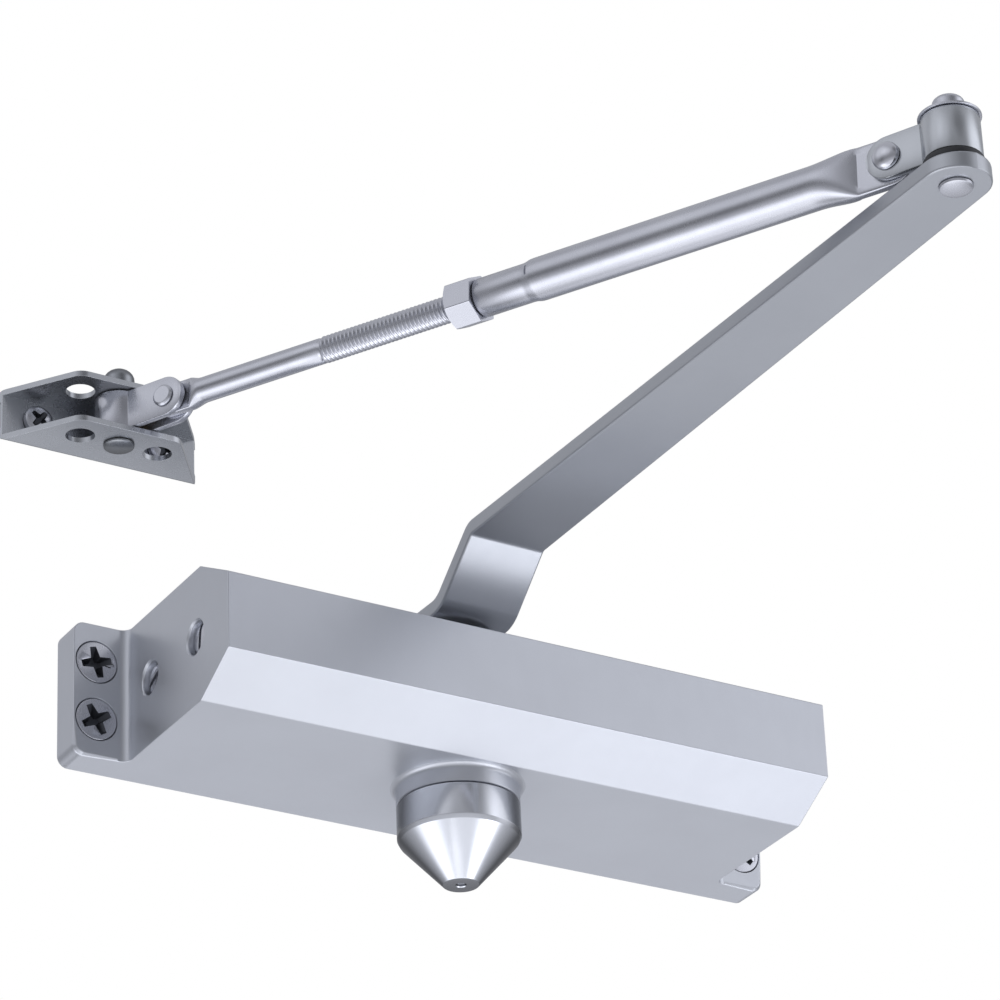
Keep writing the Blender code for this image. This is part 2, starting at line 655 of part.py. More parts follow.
def make_valve(name, root, y, metal, rubber):
    """A slotted regulating screw, pointed at its inner end, on its own turning axis, and its O-ring."""
    marker = empty(f"{name}_axis", root, (-BODY_LEFT, y, 0.0))
    head_end = VALVE_HEAD_INSET + VALVE_HEAD_LENGTH
    shank_end = VALVE_HOLE_DEPTH + VALVE_SHANK_DEPTH - VALVE_TIP_LENGTH
    tip_end = shank_end + VALVE_TIP_LENGTH - GAP
    head_radius = VALVE_HOLE_RADIUS - GAP
    profile = [
        (0.0, VALVE_HEAD_INSET), (head_radius, VALVE_HEAD_INSET), (head_radius, head_end),
        (VALVE_SHANK_RADIUS, head_end), (VALVE_SHANK_RADIUS, shank_end), (VALVE_TIP_RADIUS, tip_end),
        (0.0, tip_end),
    ]
    screw = add_object(f"{name}_screw", turned(profile, "X", (0.0, 0.0, 0.0), COARSE), marker, metal)
    half = VALVE_SLOT_WIDTH / 2
    slot_end = VALVE_HEAD_INSET + VALVE_SLOT_DEPTH
    cut(screw, box((0.0, -VALVE_HOLE_RADIUS, -half), (slot_end, VALVE_HOLE_RADIUS, half)))
    middle = -BODY_LEFT + (head_end + VALVE_HOLE_DEPTH) / 2
    inner = VALVE_SHANK_RADIUS + GAP
    o_ring(f"{name}_o_ring", root, rubber, inner, head_radius, middle, (0.0, y, 0.0))


# ---------------------------------------------------------------- piston, valve and spring

def rack_slot():
    """The slot that the pinion passes through, with the rack's teeth along its rear side."""
    pitch_line = PINION_Y + PITCH_RADIUS
    root_line = pitch_line + PINION_MODULE + ROOT_CLEARANCE
    tip_line = pitch_line - RACK_ADDENDUM
    half_pitch_width = TOOTH_PITCH / 4 - TOOTH_THINNING / 2
    lean = tan(PRESSURE_ANGLE)
    tip_half = half_pitch_width - RACK_ADDENDUM * lean
    root_half = half_pitch_width + (root_line - pitch_line) * lean
    outline = [(SLOT_RIGHT, root_line), (SLOT_RIGHT, PINION_Y - SLOT_RIGHT)]
    outline += [(SLOT_LEFT, PINION_Y - SLOT_RIGHT), (SLOT_LEFT, root_line)]
    first = -ceil(STROKE / TOOTH_PITCH) - 1
    for number in range(first, 2):
        x = number * TOOTH_PITCH
        outline += [(x - root_half, root_line), (x - tip_half, tip_line), (x + tip_half, tip_line)]
        outline.append((x + root_half, root_line))
    return prism(outline, -BORE_RADIUS, BORE_RADIUS)


def make_piston(marker, steel):
    """Built round the bore's axis, with the pinion's axis at x = 0 of its own frame."""
    shape = rod_shape(PISTON_RADIUS, PISTON_LEFT, PISTON_RIGHT, "X", (0.0, 0.0, 0.0), FINE)
    piston = add_object("piston", shape, marker, steel)
    slot = rack_slot()
    bmesh.ops.translate(slot, vec=(0.0, -PINION_Y, 0.0), verts=slot.verts)
    bore_end = PISTON_LEFT + CHECK_BORE_DEPTH
    cut(piston, slot)
    cut(piston, rod_shape(CHECK_BORE_RADIUS, PISTON_LEFT - OVER, bore_end, "X", sides=COARSE))
    cut(piston, rod_shape(OIL_PORT_RADIUS, bore_end - OVER, SLOT_LEFT + OVER, "X", sides=SMALL))
    cut(piston, rod_shape(OIL_PORT_RADIUS, SLOT_RIGHT - OVER, PISTON_RIGHT + OVER, "X", sides=SMALL))


def make_check_valve(marker, brass, steel):
    """A ball that closes the left head's oil port, and the screwed seat ring that keeps it in."""
    seat_end = PISTON_LEFT + CHECK_SEAT_LENGTH
    shape = ring_shape(OIL_PORT_RADIUS, CHECK_BORE_RADIUS - GAP, PISTON_LEFT, seat_end, "X", sides=COARSE)
    add_object("check_valve_seat", shape, marker, brass)
    reach = sqrt((CHECK_BALL_RADIUS + GAP) ** 2 - OIL_PORT_RADIUS**2)
    place = (PISTON_LEFT + CHECK_BORE_DEPTH - reach - GAP / 2, 0.0, 0.0)
    ball_axis = empty("check_ball_axis", marker, place)
    ball = bmesh.new()
    bmesh.ops.create_icosphere(ball, subdivisions=2, radius=CHECK_BALL_RADIUS)
    add_object("check_ball", ball, ball_axis, steel)


def make_spring(root, steel):
    """A round-wire compression spring with closed ends, between the piston and the end plug."""
    start = PISTON_RIGHT + GAP + SPRING_WIRE_RADIUS
    end = PLUG_INNER - GAP - SPRING_WIRE_RADIUS
    closed_pitch = 2 * SPRING_WIRE_RADIUS + GAP
    closed_rise = SPRING_CLOSED_TURNS * closed_pitch
    open_turns = SPRING_TURNS - 2 * SPRING_CLOSED_TURNS
    open_rise = end - start - 2 * closed_rise
    shape = bmesh.new()
    steps = ceil(SPRING_TURNS * SPRING_STEPS_PER_TURN)
    rings = []
    for k in range(steps + 1):
        turns = SPRING_TURNS * k / steps
        middle_turns = min(max(turns - SPRING_CLOSED_TURNS, 0.0), open_turns)
        end_turns = turns - middle_turns
        x = start + end_turns * closed_pitch + open_rise * middle_turns / open_turns
        angle = 2 * pi * turns
        outward = Vector((0.0, cos(angle), sin(angle)))
        centre = Vector((x, 0.0, 0.0)) + outward * SPRING_MEAN_RADIUS
        ring = []
        for side in range(SPRING_WIRE_SIDES):
            turn = 2 * pi * side / SPRING_WIRE_SIDES
            offset = outward * cos(turn) + Vector((1.0, 0.0, 0.0)) * sin(turn)
            ring.append(shape.verts.new(centre + offset * SPRING_WIRE_RADIUS))
        rings.append(ring)
    for first, second in zip(rings, rings[1:]):
        for side in range(SPRING_WIRE_SIDES):
            after = (side + 1) % SPRING_WIRE_SIDES
            shape.faces.new((first[side], first[after], second[after], second[side]))
    shape.faces.new(rings[0])
    shape.faces.new(rings[-1])
    bmesh.ops.translate(shape, vec=(0.0, PINION_Y, 0.0), verts=shape.verts)
    add_object("main_spring", shape, root, steel)


# ---------------------------------------------------------------- pinion and main arm

def involute_angle(radius, base):
    """How far round an involute has come at this radius, from where it leaves its base circle."""
    if radius <= base:
        return 0.0
    slope = acos(base / radius)
    return tan(slope) - slope


def pinion_outline():
    """Gear teeth with involute flanks; a gap between two teeth faces the rack, toward +Y of the body."""
    base = PITCH_RADIUS * cos(PRESSURE_ANGLE)
    half_tooth = (TOOTH_PITCH / 2 - TOOTH_THINNING) / 2 / PITCH_RADIUS
    half_base = half_tooth + involute_angle(PITCH_RADIUS, base)
    radii = [base, (base + PITCH_RADIUS) / 2, PITCH_RADIUS, (PITCH_RADIUS + TIP_RADIUS) / 2, TIP_RADIUS]
    turn = 2 * pi / PINION_TEETH
    first = pi / 2 - ARM_ANGLE + turn / 2
    outline = []
    for tooth in range(PINION_TEETH):
        middle = first + tooth * turn
        flank = [(radius, half_base - involute_angle(radius, base)) for radius in radii]
        points = [(ROOT_RADIUS, -half_base)]
        points += [(radius, -half) for radius, half in flank]
        points += [(radius, half) for radius, half in reversed(flank)]
        points.append((ROOT_RADIUS, half_base))
        outline += [(radius * cos(middle + side), radius * sin(middle + side)) for radius, side in points]
    return outline


def square(width, low, high):
    half = width / 2
    return box((-half, -half, low), (half, half, high))


def make_pinion(arm_axis, steel):
    square_start = RING_OUTER + GAP
    shank = rod_shape(JOURNAL_RADIUS, -square_start, square_start, "Z", sides=MEDIUM)
    shaft = add_object("pinion_shaft", shank, arm_axis, steel)
    join(shaft, prism(pinion_outline(), -GEAR_HALF_HEIGHT, GEAR_HALF_HEIGHT))
    join(shaft, square(ARM_SQUARE, square_start - OVERLAP, HUB_TOP - GAP))
    join(shaft, square(CAP_SQUARE, -TOP - LOWER_END_REACH, -square_start + OVERLAP))
    thread_bottom = HUB_TOP - ARM_SCREW_LENGTH - ARM_SCREW_END_SPACE
    cut(shaft, rod_shape(ARM_SCREW_RADIUS + GAP, thread_bottom, HUB_TOP + OVER, "Z", sides=SMALL))


def arm_side_outline():
    """The arm seen from its side: a strip of even thickness with two bends of opposite hand."""
    half = ARM_THICKNESS / 2
    low = HUB_UNDERSIDE + half
    high = BAR_UNDERSIDE + half
    upper_x = ARM_UPPER_BEND_REACH - half * tan(ARM_SLOPE / 2)
    lower_x = upper_x - (high - low) / tan(ARM_SLOPE)
    lower_start = lower_x - ARM_LOWER_BEND * tan(ARM_SLOPE / 2)
    upper_end = upper_x + ARM_UPPER_BEND * tan(ARM_SLOPE / 2)
    lower_centre = (lower_start, low + ARM_LOWER_BEND)
    upper_centre = (upper_end, high - ARM_UPPER_BEND)
    hub_end = -ARM_HUB_WIDTH
    bar_end = ARM_LENGTH + ARM_END_WIDTH
    down = -pi / 2
    up = pi / 2
    underside = arc(lower_centre, ARM_LOWER_BEND + half, down, down + ARM_SLOPE, 6)
    underside += arc(upper_centre, ARM_UPPER_BEND - half, up + ARM_SLOPE, up, 5)
    upside = arc(upper_centre, ARM_UPPER_BEND + half, up, up + ARM_SLOPE, 5)
    upside += arc(lower_centre, ARM_LOWER_BEND - half, down + ARM_SLOPE, down, 6)
    ends = [(bar_end, high - half), (bar_end, high + half)]
    return [(hub_end, low - half)] + underside + ends + upside + [(hub_end, low + half)]


def arm_plan_outline():
    """The arm seen from above: it tapers evenly from a round hub to a round end."""
    hub = ARM_HUB_WIDTH / 2
    end = ARM_END_WIDTH / 2
    lean = acos((hub - end) / ARM_LENGTH)
    outline = arc((0.0, 0.0), hub, lean, 2 * pi - lean, 16)
    outline += arc((ARM_LENGTH, 0.0), end, -lean, lean, 14)
    return outline


def make_main_arm(arm_axis, paint):
    reach = ARM_HUB_WIDTH
    arm = add_object("main_arm", prism(arm_side_outline(), -reach, reach, "XZ"), arm_axis, paint)
    combine(arm, "INTERSECT", prism(arm_plan_outline(), HUB_UNDERSIDE - OVER, BAR_TOP + OVER))
    cut(arm, square(ARM_SQUARE + 2 * GAP, HUB_UNDERSIDE - OVER, HUB_TOP + OVER))
    pin_hole = (ARM_LENGTH, 0.0, 0.0)
    hole_radius = ELBOW_PIN_RADIUS + GAP
    cut(arm, rod_shape(hole_radius, BAR_UNDERSIDE - OVER, BAR_TOP + OVER, "Z", pin_hole, COARSE))


def make_arm_screw(arm_axis, steel):
    washer_low = HUB_TOP + GAP
    washer_high = washer_low + ARM_WASHER_THICKNESS
    washer = ring_shape(ARM_SCREW_RADIUS + GAP, ARM_WASHER_RADIUS, washer_low, washer_high)
    add_object("arm_washer", washer, arm_axis, steel)
    seat = washer_high + GAP
    head_top = seat + ARM_SCREW_HEAD_HEIGHT
    end = HUB_TOP - ARM_SCREW_LENGTH
    profile = [
        (0.0, end), (ARM_SCREW_RADIUS, end), (ARM_SCREW_RADIUS, seat), (ARM_SCREW_HEAD_RADIUS, seat),
        (ARM_SCREW_HEAD_RADIUS, head_top), (0.0, head_top),
    ]
    screw = add_object("arm_screw", turned(profile, sides=COARSE), arm_axis, steel)
    socket_bottom = head_top - ARM_SCREW_SOCKET_DEPTH
    cut(screw, rod_shape(ARM_SCREW_SOCKET_RADIUS, socket_bottom, head_top + OVER, "Z", sides=6))


def make_elbow_pin(elbow_mark, steel, dark, bronze):
    """The elbow's headed pin, its two washers and its bush, on the arm's end."""
    washer_low = STRAP_TOP + GAP
    washer_high = washer_low + ELBOW_WASHER_THICKNESS
    head = washer_high + GAP
    foot = BAR_UNDERSIDE - GAP
    button = foot - ELBOW_BUTTON_HEIGHT
    profile = [
        (0.0, button), (ELBOW_BUTTON_RADIUS * PIN_FOOT_SHARE, button),
        (ELBOW_BUTTON_RADIUS, button + ELBOW_BUTTON_HEIGHT / 2), (ELBOW_BUTTON_RADIUS, foot),
        (ELBOW_PIN_RADIUS, foot), (ELBOW_PIN_RADIUS, head), (ELBOW_HEAD_RADIUS, head),
    ]
    rim = head + ELBOW_HEAD_HEIGHT - PIN_DOME_HEIGHT
    profile += domed_profile(ELBOW_HEAD_RADIUS, rim, PIN_DOME_HEIGHT)
    add_object("elbow_pin", turned(profile, sides=COARSE), elbow_mark, steel)
    hole = ELBOW_PIN_RADIUS + GAP
    spacer_low = BAR_TOP + GAP
    spacer = ring_shape(hole, ELBOW_SPACER_RADIUS, spacer_low, spacer_low + ELBOW_SPACER_THICKNESS)
    add_object("elbow_spacer", spacer, elbow_mark, dark)
    washer = ring_shape(hole, ELBOW_WASHER_RADIUS, washer_low, washer_high)
    add_object("elbow_washer", washer, elbow_mark, steel)
    bush = ring_shape(hole, ELBOW_BUSH_RADIUS, STRAP_BOTTOM, STRAP_TOP)
    add_object("elbow_bush", bush, elbow_mark, bronze)


# ---------------------------------------------------------------- straps and rivets

def rounded_leg(start, centre, radius, low, high):
    """A strap's leg seen from its side, with a full round end about the rivet, between two y levels."""
    outline = [(start, radius), (start, -radius)] + arc((centre, 0.0), radius, -pi / 2, pi / 2, 10)
    return prism(outline, low, high, "XZ")


def make_strap(name, marker, metal, bore, height, rivet_x):
    """A strip bent round a bush, with its two legs pinched together; z = 0 is the strap's mid-height."""
    outer = bore + STRAP_THICKNESS
    half = height / 2
    strap = add_object(name, ring_shape(bore, outer, -half, half), marker, metal)
    leg_start = (bore + outer) / 2 - OVERLAP
    join(strap, rounded_leg(leg_start, rivet_x, half, LEG_INNER, LEG_OUTER))
    join(strap, rounded_leg(leg_start, rivet_x, half, -LEG_OUTER, -LEG_INNER))
    cut(strap, box((bore / 2, -LEG_INNER, -height), (outer + OVER, LEG_INNER, height)))
    cut(strap, rod_shape(RIVET_RADIUS + GAP, -2 * outer, 2 * outer, "Y", (rivet_x, 0.0, 0.0), COARSE))


def make_rivet(name, marker, steel, head_radius, head_height):
    """A cross rivet along Y, domed at both ends."""
    seat = LEG_OUTER + GAP
    near = domed_profile(head_radius, seat, head_height)
    far = [(radius, -height) for radius, height in reversed(near)]
    profile = far + [(RIVET_RADIUS, -seat), (RIVET_RADIUS, seat)] + near
    add_object(name, turned(profile, "Y", sides=COARSE), marker, steel)


# ---------------------------------------------------------------- forearm

def flare(flat_x, round_x, flat_height, radius, steps=6, sides=TUBE_SIDES):
    """The stretch over which a round tube is pressed out to a flat tongue, as stacked sections."""
    shape = bmesh.new()
    rings = []
    for k in range(steps + 1):
        share = k / steps
        blend = share * share * (3 - 2 * share)
        x = flat_x + (round_x - flat_x) * share
        half_z = flat_height / 2 + (radius - flat_height / 2) * blend
        half_y = TONGUE_THICKNESS / 2 + (radius - TONGUE_THICKNESS / 2) * blend
        power = TONGUE_SQUARENESS + (1 - TONGUE_SQUARENESS) * blend
        ring = []
        for side in range(sides):
            angle = 2 * pi * (side + 0.5) / sides
            y = half_y * abs(cos(angle)) ** power * (1 if cos(angle) > 0 else -1)
            z = half_z * abs(sin(angle)) ** power * (1 if sin(angle) > 0 else -1)
            ring.append(shape.verts.new((x, y, z)))
        rings.append(ring)
    for first, second in zip(rings, rings[1:]):
        for side in range(sides):
            after = (side + 1) % sides
            shape.faces.new((first[side], first[after], second[after], second[side]))
    shape.faces.new(rings[0])
    shape.faces.new(rings[-1])
    return shape


def tongue(end_x, sign, height, length):
    """The flat end round a rivet: a plate whose end is a half circle about the rivet."""
    half = height / 2
    start = end_x + sign * length
    outline = [(start, half)] + arc((end_x, 0.0), half, pi / 2, pi / 2 + sign * pi, 12) + [(start, -half)]
    thickness = TONGUE_THICKNESS / 2
    return prism(outline, -thickness, thickness, "XZ")


def make_tube(forearm_axis, metal):
    """The forearm's tube: pressed flat at the elbow, round, then necked in, with a blind bore."""
    round_start = TUBE_TONGUE_LENGTH + TUBE_FLARE_LENGTH
    profile = [
        (0.0, round_start - OVERLAP), (TUBE_RADIUS, round_start - OVERLAP), (TUBE_RADIUS, NECK_START),
        (NECK_RADIUS, NECK_START + NECK_STEP), (NECK_RADIUS, TUBE_LENGTH), (0.0, TUBE_LENGTH),
    ]
    tube = add_object("forearm_tube", turned(profile, "X", sides=TUBE_SIDES), forearm_axis, metal)
    join(tube, flare(TUBE_TONGUE_LENGTH, round_start, TUBE_TONGUE_HEIGHT, TUBE_RADIUS))
    join(tube, tongue(0.0, 1, TUBE_TONGUE_HEIGHT, TUBE_TONGUE_LENGTH + OVERLAP))
    bore_end = TUBE_LENGTH - TUBE_BORE_LENGTH
    cut(tube, rod_shape(TUBE_BORE_RADIUS, bore_end, TUBE_LENGTH + OVER, "X", sides=COARSE))
    cut(tube, rod_shape(RIVET_RADIUS + GAP, -TUBE_RADIUS, TUBE_RADIUS, "Y", sides=COARSE))


def make_lock_nut(nut_axis, metal):
    """A hexagon nut with chamfered corners, bored to clear the rod's thread."""
    corner = NUT_ACROSS_FLATS / sqrt(3)
    hexagon = [(corner * cos(pi / 3 * k), corner * sin(pi / 3 * k)) for k in range(6)]
    nut = add_object("lock_nut", prism(hexagon, 0.0, NUT_LENGTH, "YZ"), nut_axis, metal)
    face = NUT_ACROSS_FLATS / 2
    edge = corner + GAP
    barrel = [
        (0.0, 0.0), (face, 0.0), (edge, NUT_CHAMFER), (edge, NUT_LENGTH - NUT_CHAMFER), (face, NUT_LENGTH),
        (0.0, NUT_LENGTH),
    ]
    combine(nut, "INTERSECT", turned(barrel, "X", sides=TUBE_SIDES))
    cut(nut, rod_shape(THREAD_RADIUS + GAP, -OVER, NUT_LENGTH + OVER, "X", sides=COARSE))


def make_rod(rod_axis, metal):
    """The forearm's rod: threaded where it enters the tube, plain, then pressed flat at the yoke."""
    round_end = FOREARM_LENGTH - ROD_TONGUE_LENGTH - ROD_FLARE_LENGTH
    flat_start = FOREARM_LENGTH - ROD_TONGUE_LENGTH
    start = TUBE_LENGTH - THREAD_IN_TUBE
    profile = [
        (0.0, start), (THREAD_RADIUS - ROD_CHAMFER, start), (THREAD_RADIUS, start + ROD_CHAMFER),
        (THREAD_RADIUS, THREAD_END), (ROD_RADIUS, THREAD_END + GAP), (ROD_RADIUS, round_end + OVERLAP),
        (0.0, round_end + OVERLAP),
    ]
    rod = add_object("forearm_rod", turned(profile, "X", sides=TUBE_SIDES), rod_axis, metal)
    join(rod, flare(flat_start, round_end, ROD_TONGUE_HEIGHT, ROD_RADIUS))
    join(rod, tongue(FOREARM_LENGTH, -1, ROD_TONGUE_HEIGHT, ROD_TONGUE_LENGTH + OVERLAP))
    hole = (FOREARM_LENGTH, 0.0, 0.0)
    cut(rod, rod_shape(RIVET_RADIUS + GAP, -TUBE_RADIUS, TUBE_RADIUS, "Y", hole, COARSE))


# ---------------------------------------------------------------- shoe

def shoe_flange(low, high):
    """One of the shoe's two flanges: long at the back, short and rounded at the front."""
    back = SHOE_PIN_TO_BACK
    front = back - SHOE_DEPTH
    half_back = SHOE_BACK_LENGTH / 2
    half_front = SHOE_FRONT_LENGTH / 2
    shift = SHOE_SIDE_SHIFT
    corners = [
        (shift - half_back, back), (shift + half_back, back), (shift + half_front, front),
        (shift - half_front, front),
    ]
    return prism(rounded(corners, [0.0, 0.0, SHOE_NOSE_RADIUS, SHOE_NOSE_RADIUS]), low, high)


def make_shoe_bracket(shoe_axis, metal):
    """A channel with its web against the frame; z is height above the closer's middle plane."""
    back = SHOE_PIN_TO_BACK
    half_back = SHOE_BACK_LENGTH / 2
    low_corner = (SHOE_SIDE_SHIFT - half_back, back - SHOE_THICKNESS, SHOE_UNDERSIDE)
    high_corner = (SHOE_SIDE_SHIFT + half_back, back, SHOE_TOP)
    web = box(low_corner, high_corner)
    bracket = add_object("shoe_bracket", web, shoe_axis, metal)
    join(bracket, shoe_flange(SHOE_UNDERSIDE, SHOE_INSIDE_BOTTOM), shoe_flange(SHOE_INSIDE_TOP, SHOE_TOP))
    low = SHOE_UNDERSIDE - OVER
    high = SHOE_TOP + OVER
    cut(bracket, rod_shape(SHOE_PIN_RADIUS + GAP, low, high, "Z", sides=COARSE))
    for side in (-1, 1):
        hole = (side * SHOE_HOLE_SPACING / 2, 0.0, 0.0)
        cut(bracket, rod_shape(SHOE_HOLE_RADIUS, low, high, "Z", hole, COARSE))
    for x in shoe_screw_places():
        hole_radius = SHOE_SCREW_SHANK_RADIUS + GAP
        cut(bracket, rod_shape(hole_radius, 0.0, back + OVER, "Y", (x, 0.0, YOKE_MIDDLE), COARSE))


def shoe_screw_places():
    return [SHOE_SIDE_SHIFT + side * SHOE_SCREW_SPACING / 2 for side in (-1, 1)]


def make_shoe_pin(shoe_axis, steel):
    foot = SHOE_UNDERSIDE - GAP
    head = SHOE_TOP + GAP
    rim = head + SHOE_PIN_HEAD_HEIGHT - PIN_DOME_HEIGHT
    button = foot - SHOE_PIN_BUTTON_HEIGHT
    profile = [
        (0.0, button), (SHOE_PIN_HEAD_RADIUS * PIN_FOOT_SHARE, button), (SHOE_PIN_HEAD_RADIUS, foot),
        (SHOE_PIN_RADIUS, foot), (SHOE_PIN_RADIUS, head), (SHOE_PIN_HEAD_RADIUS, head),
    ]
    profile += domed_profile(SHOE_PIN_HEAD_RADIUS, rim, PIN_DOME_HEIGHT)
    add_object("shoe_pin", turned(profile, sides=COARSE), shoe_axis, steel)


def make_shoe_screws(shoe_axis, steel):
    """Two pan-headed screws through the web, their heads inside the channel."""
    upright = Matrix.Rotation(pi / 2, 4, "X")
    height = SHOE_SCREW_HEAD_HEIGHT
    for number, x in enumerate(shoe_screw_places(), 1):
        seat = SHOE_PIN_TO_BACK - SHOE_THICKNESS - GAP
        marker = empty(f"shoe_screw_axis_{number}", shoe_axis, (x, seat, YOKE_MIDDLE))
        radius = SHOE_SCREW_HEAD_RADIUS
        shank = SHOE_SCREW_SHANK_RADIUS
        length = SHOE_SCREW_LENGTH
        profile = [
            (0.0, -height), (radius * SHOE_SCREW_FACE_SHARE, -height), (radius, -height / 2),
            (radius, 0.0), (shank, 0.0), (shank, length - SCREW_TIP_LENGTH),
            (shank * SCREW_TIP_SHARE, length), (0.0, length),
        ]
        screw = add_object(f"shoe_screw_{number}", turned(profile, "Y", sides=COARSE), marker, steel)
        cut(screw, cross_recess(radius, height, SHOE_SCREW_CROSS_DEPTH, upright))


# ---------------------------------------------------------------- whole closer

def make_body(root, looks):
    make_housing(root, looks["body"])
    make_end_plug(root, looks["zinc"])
    make_end_plug_o_ring(root, looks["rubber"])
    for name, side in (("upper", 1), ("lower", -1)):
        make_bearing_set(root, name, side, looks["zinc"], looks["bronze"], looks["rubber"])
    make_pinion_cap(root, looks["body"])
    make_body_screws(root, looks["zinc"])
    for name, (y, _) in zip(("sweep_valve", "latch_valve"), valve_places()):
        make_valve(name, root, y, looks["zinc"], looks["rubber"])
    piston_axis = empty("piston_axis", root, (0.0, PINION_Y, 0.0))
    make_piston(piston_axis, looks["steel"])
    make_check_valve(piston_axis, looks["bronze"], looks["steel"])
    make_spring(root, looks["steel"])


def make_arm(root, looks):
    arm_axis = empty("main_arm_axis", root, (0.0, PINION_Y, 0.0), (0.0, 0.0, ARM_ANGLE))
    make_pinion(arm_axis, looks["steel"])
    make_main_arm(arm_axis, looks["paint"])
    make_arm_screw(arm_axis, looks["zinc"])
    elbow_mark = empty("elbow_mark", arm_axis, (ARM_LENGTH, 0.0, 0.0))
    make_elbow_pin(elbow_mark, looks["zinc"], looks["dark"], looks["bronze"])
    return elbow_mark


def make_forearm(elbow_mark, looks):
    """Strap, tube, nut, rod and yoke, each under an empty on its own joint axis; returns the shoe's axis."""
    turn = (0.0, 0.0, FOREARM_ANGLE - ARM_ANGLE)
    elbow_axis = empty("elbow_axis", elbow_mark, (0.0, 0.0, STRAP_MIDDLE), turn)
    zinc = looks["zinc"]
    make_strap("elbow_strap", elbow_axis, zinc, ELBOW_LOOP_BORE, ELBOW_STRAP_HEIGHT, ELBOW_RIVET_OFFSET)
    rivet_mark = empty("elbow_rivet_mark", elbow_axis, (ELBOW_RIVET_OFFSET, 0.0, 0.0))
    make_rivet("elbow_rivet", rivet_mark, zinc, ELBOW_RIVET_HEAD_RADIUS, ELBOW_RIVET_HEAD_HEIGHT)
    rivet_place = (ELBOW_RIVET_OFFSET, 0.0, 0.0)
    forearm_axis = empty("forearm_axis", elbow_axis, rivet_place, (0.0, -FOREARM_TILT, 0.0))
    make_tube(forearm_axis, zinc)
    nut_axis = empty("lock_nut_axis", forearm_axis, (TUBE_LENGTH + GAP, 0.0, 0.0))
    make_lock_nut(nut_axis, zinc)
    make_rod(forearm_axis, zinc)
    yoke_axis = empty("yoke_axis", forearm_axis, (FOREARM_LENGTH, 0.0, 0.0), (0.0, FOREARM_TILT, 0.0))
    make_rivet("yoke_rivet", yoke_axis, zinc, YOKE_RIVET_HEAD_RADIUS, YOKE_RIVET_HEAD_HEIGHT)
    yoke_loop = empty("yoke_loop", yoke_axis, (YOKE_RIVET_OFFSET, 0.0, 0.0), (0.0, 0.0, pi))
    make_strap("shoe_yoke", yoke_loop, zinc, YOKE_LOOP_BORE, YOKE_HEIGHT, YOKE_RIVET_OFFSET)
    bush = ring_shape(SHOE_PIN_RADIUS + GAP, YOKE_BUSH_RADIUS, -YOKE_HEIGHT / 2, YOKE_HEIGHT / 2)
    add_object("yoke_bush", bush, yoke_loop, looks["bronze"])
    return empty("shoe_axis", yoke_loop, (0.0, 0.0, -YOKE_MIDDLE), (0.0, 0.0, -pi - FOREARM_ANGLE))


def make_shoe(shoe_axis, looks):
    make_shoe_bracket(shoe_axis, looks["zinc"])
    make_shoe_pin(shoe_axis, looks["zinc"])
    make_shoe_screws(shoe_axis, looks["zinc"])


def make_looks():
    return {
        "body": make_material("body_paint", (0.55, 0.56, 0.60), 0.38, 0.65),
        "paint": make_material("silver_paint", (0.55, 0.56, 0.60), 0.38, 0.65),
        "zinc": make_material("zinc_plate", (0.58, 0.59, 0.62), 0.30, 0.90),
        "steel": make_material("ground_steel", (0.45, 0.45, 0.46), 0.35, 1.00),
        "bronze": make_material("bearing_bronze", (0.50, 0.34, 0.16), 0.40, 0.90),
        "dark": make_material("dark_nylon", (0.03, 0.03, 0.035), 0.50, 0.00),
        "rubber": make_material("seal_rubber", (0.02, 0.02, 0.02), 0.70, 0.00),
    }


def main():
    clear_scene()
    looks = make_looks()
    root = empty("door_closer", None, (0.0, 0.0, 0.0))
    make_body(root, looks)
    elbow_mark = make_arm(root, looks)
    shoe_axis = make_forearm(elbow_mark, looks)
    make_shoe(shoe_axis, looks)


main()
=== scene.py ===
"""Looks for the door closer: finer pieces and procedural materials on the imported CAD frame."""

import json
from math import acos, atan2, cos, pi, radians, sin, sqrt, tan

import bmesh
import bpy
from mathutils import Matrix, Vector


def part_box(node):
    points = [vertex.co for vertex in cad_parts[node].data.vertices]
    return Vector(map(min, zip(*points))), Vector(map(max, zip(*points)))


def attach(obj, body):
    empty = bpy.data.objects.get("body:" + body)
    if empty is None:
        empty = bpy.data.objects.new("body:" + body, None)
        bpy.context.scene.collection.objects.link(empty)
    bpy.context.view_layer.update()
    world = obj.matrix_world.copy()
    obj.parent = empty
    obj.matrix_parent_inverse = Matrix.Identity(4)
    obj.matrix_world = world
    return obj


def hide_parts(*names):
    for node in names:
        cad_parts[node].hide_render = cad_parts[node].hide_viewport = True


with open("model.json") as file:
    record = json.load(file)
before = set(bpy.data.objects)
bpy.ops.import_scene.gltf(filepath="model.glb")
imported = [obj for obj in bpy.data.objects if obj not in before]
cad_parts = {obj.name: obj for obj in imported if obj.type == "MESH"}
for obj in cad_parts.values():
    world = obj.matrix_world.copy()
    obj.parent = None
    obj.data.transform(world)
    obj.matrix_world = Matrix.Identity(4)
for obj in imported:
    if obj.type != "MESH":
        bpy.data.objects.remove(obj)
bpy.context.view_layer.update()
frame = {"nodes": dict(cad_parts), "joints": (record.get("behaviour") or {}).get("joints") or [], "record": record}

MM = 0.001
RECORD = frame["record"]
JOINTS = {joint["name"]: joint for joint in frame["joints"]}
BODY_OF = {node: body for body, nodes in RECORD["behaviour"]["bodies"].items() for node in nodes}
SLOT_OF = {part["node"]: part["material_slot"] for part in RECORD["subparts"]}

# How far a cutter reaches past what it cuts.
OVER = 2.0 * MM

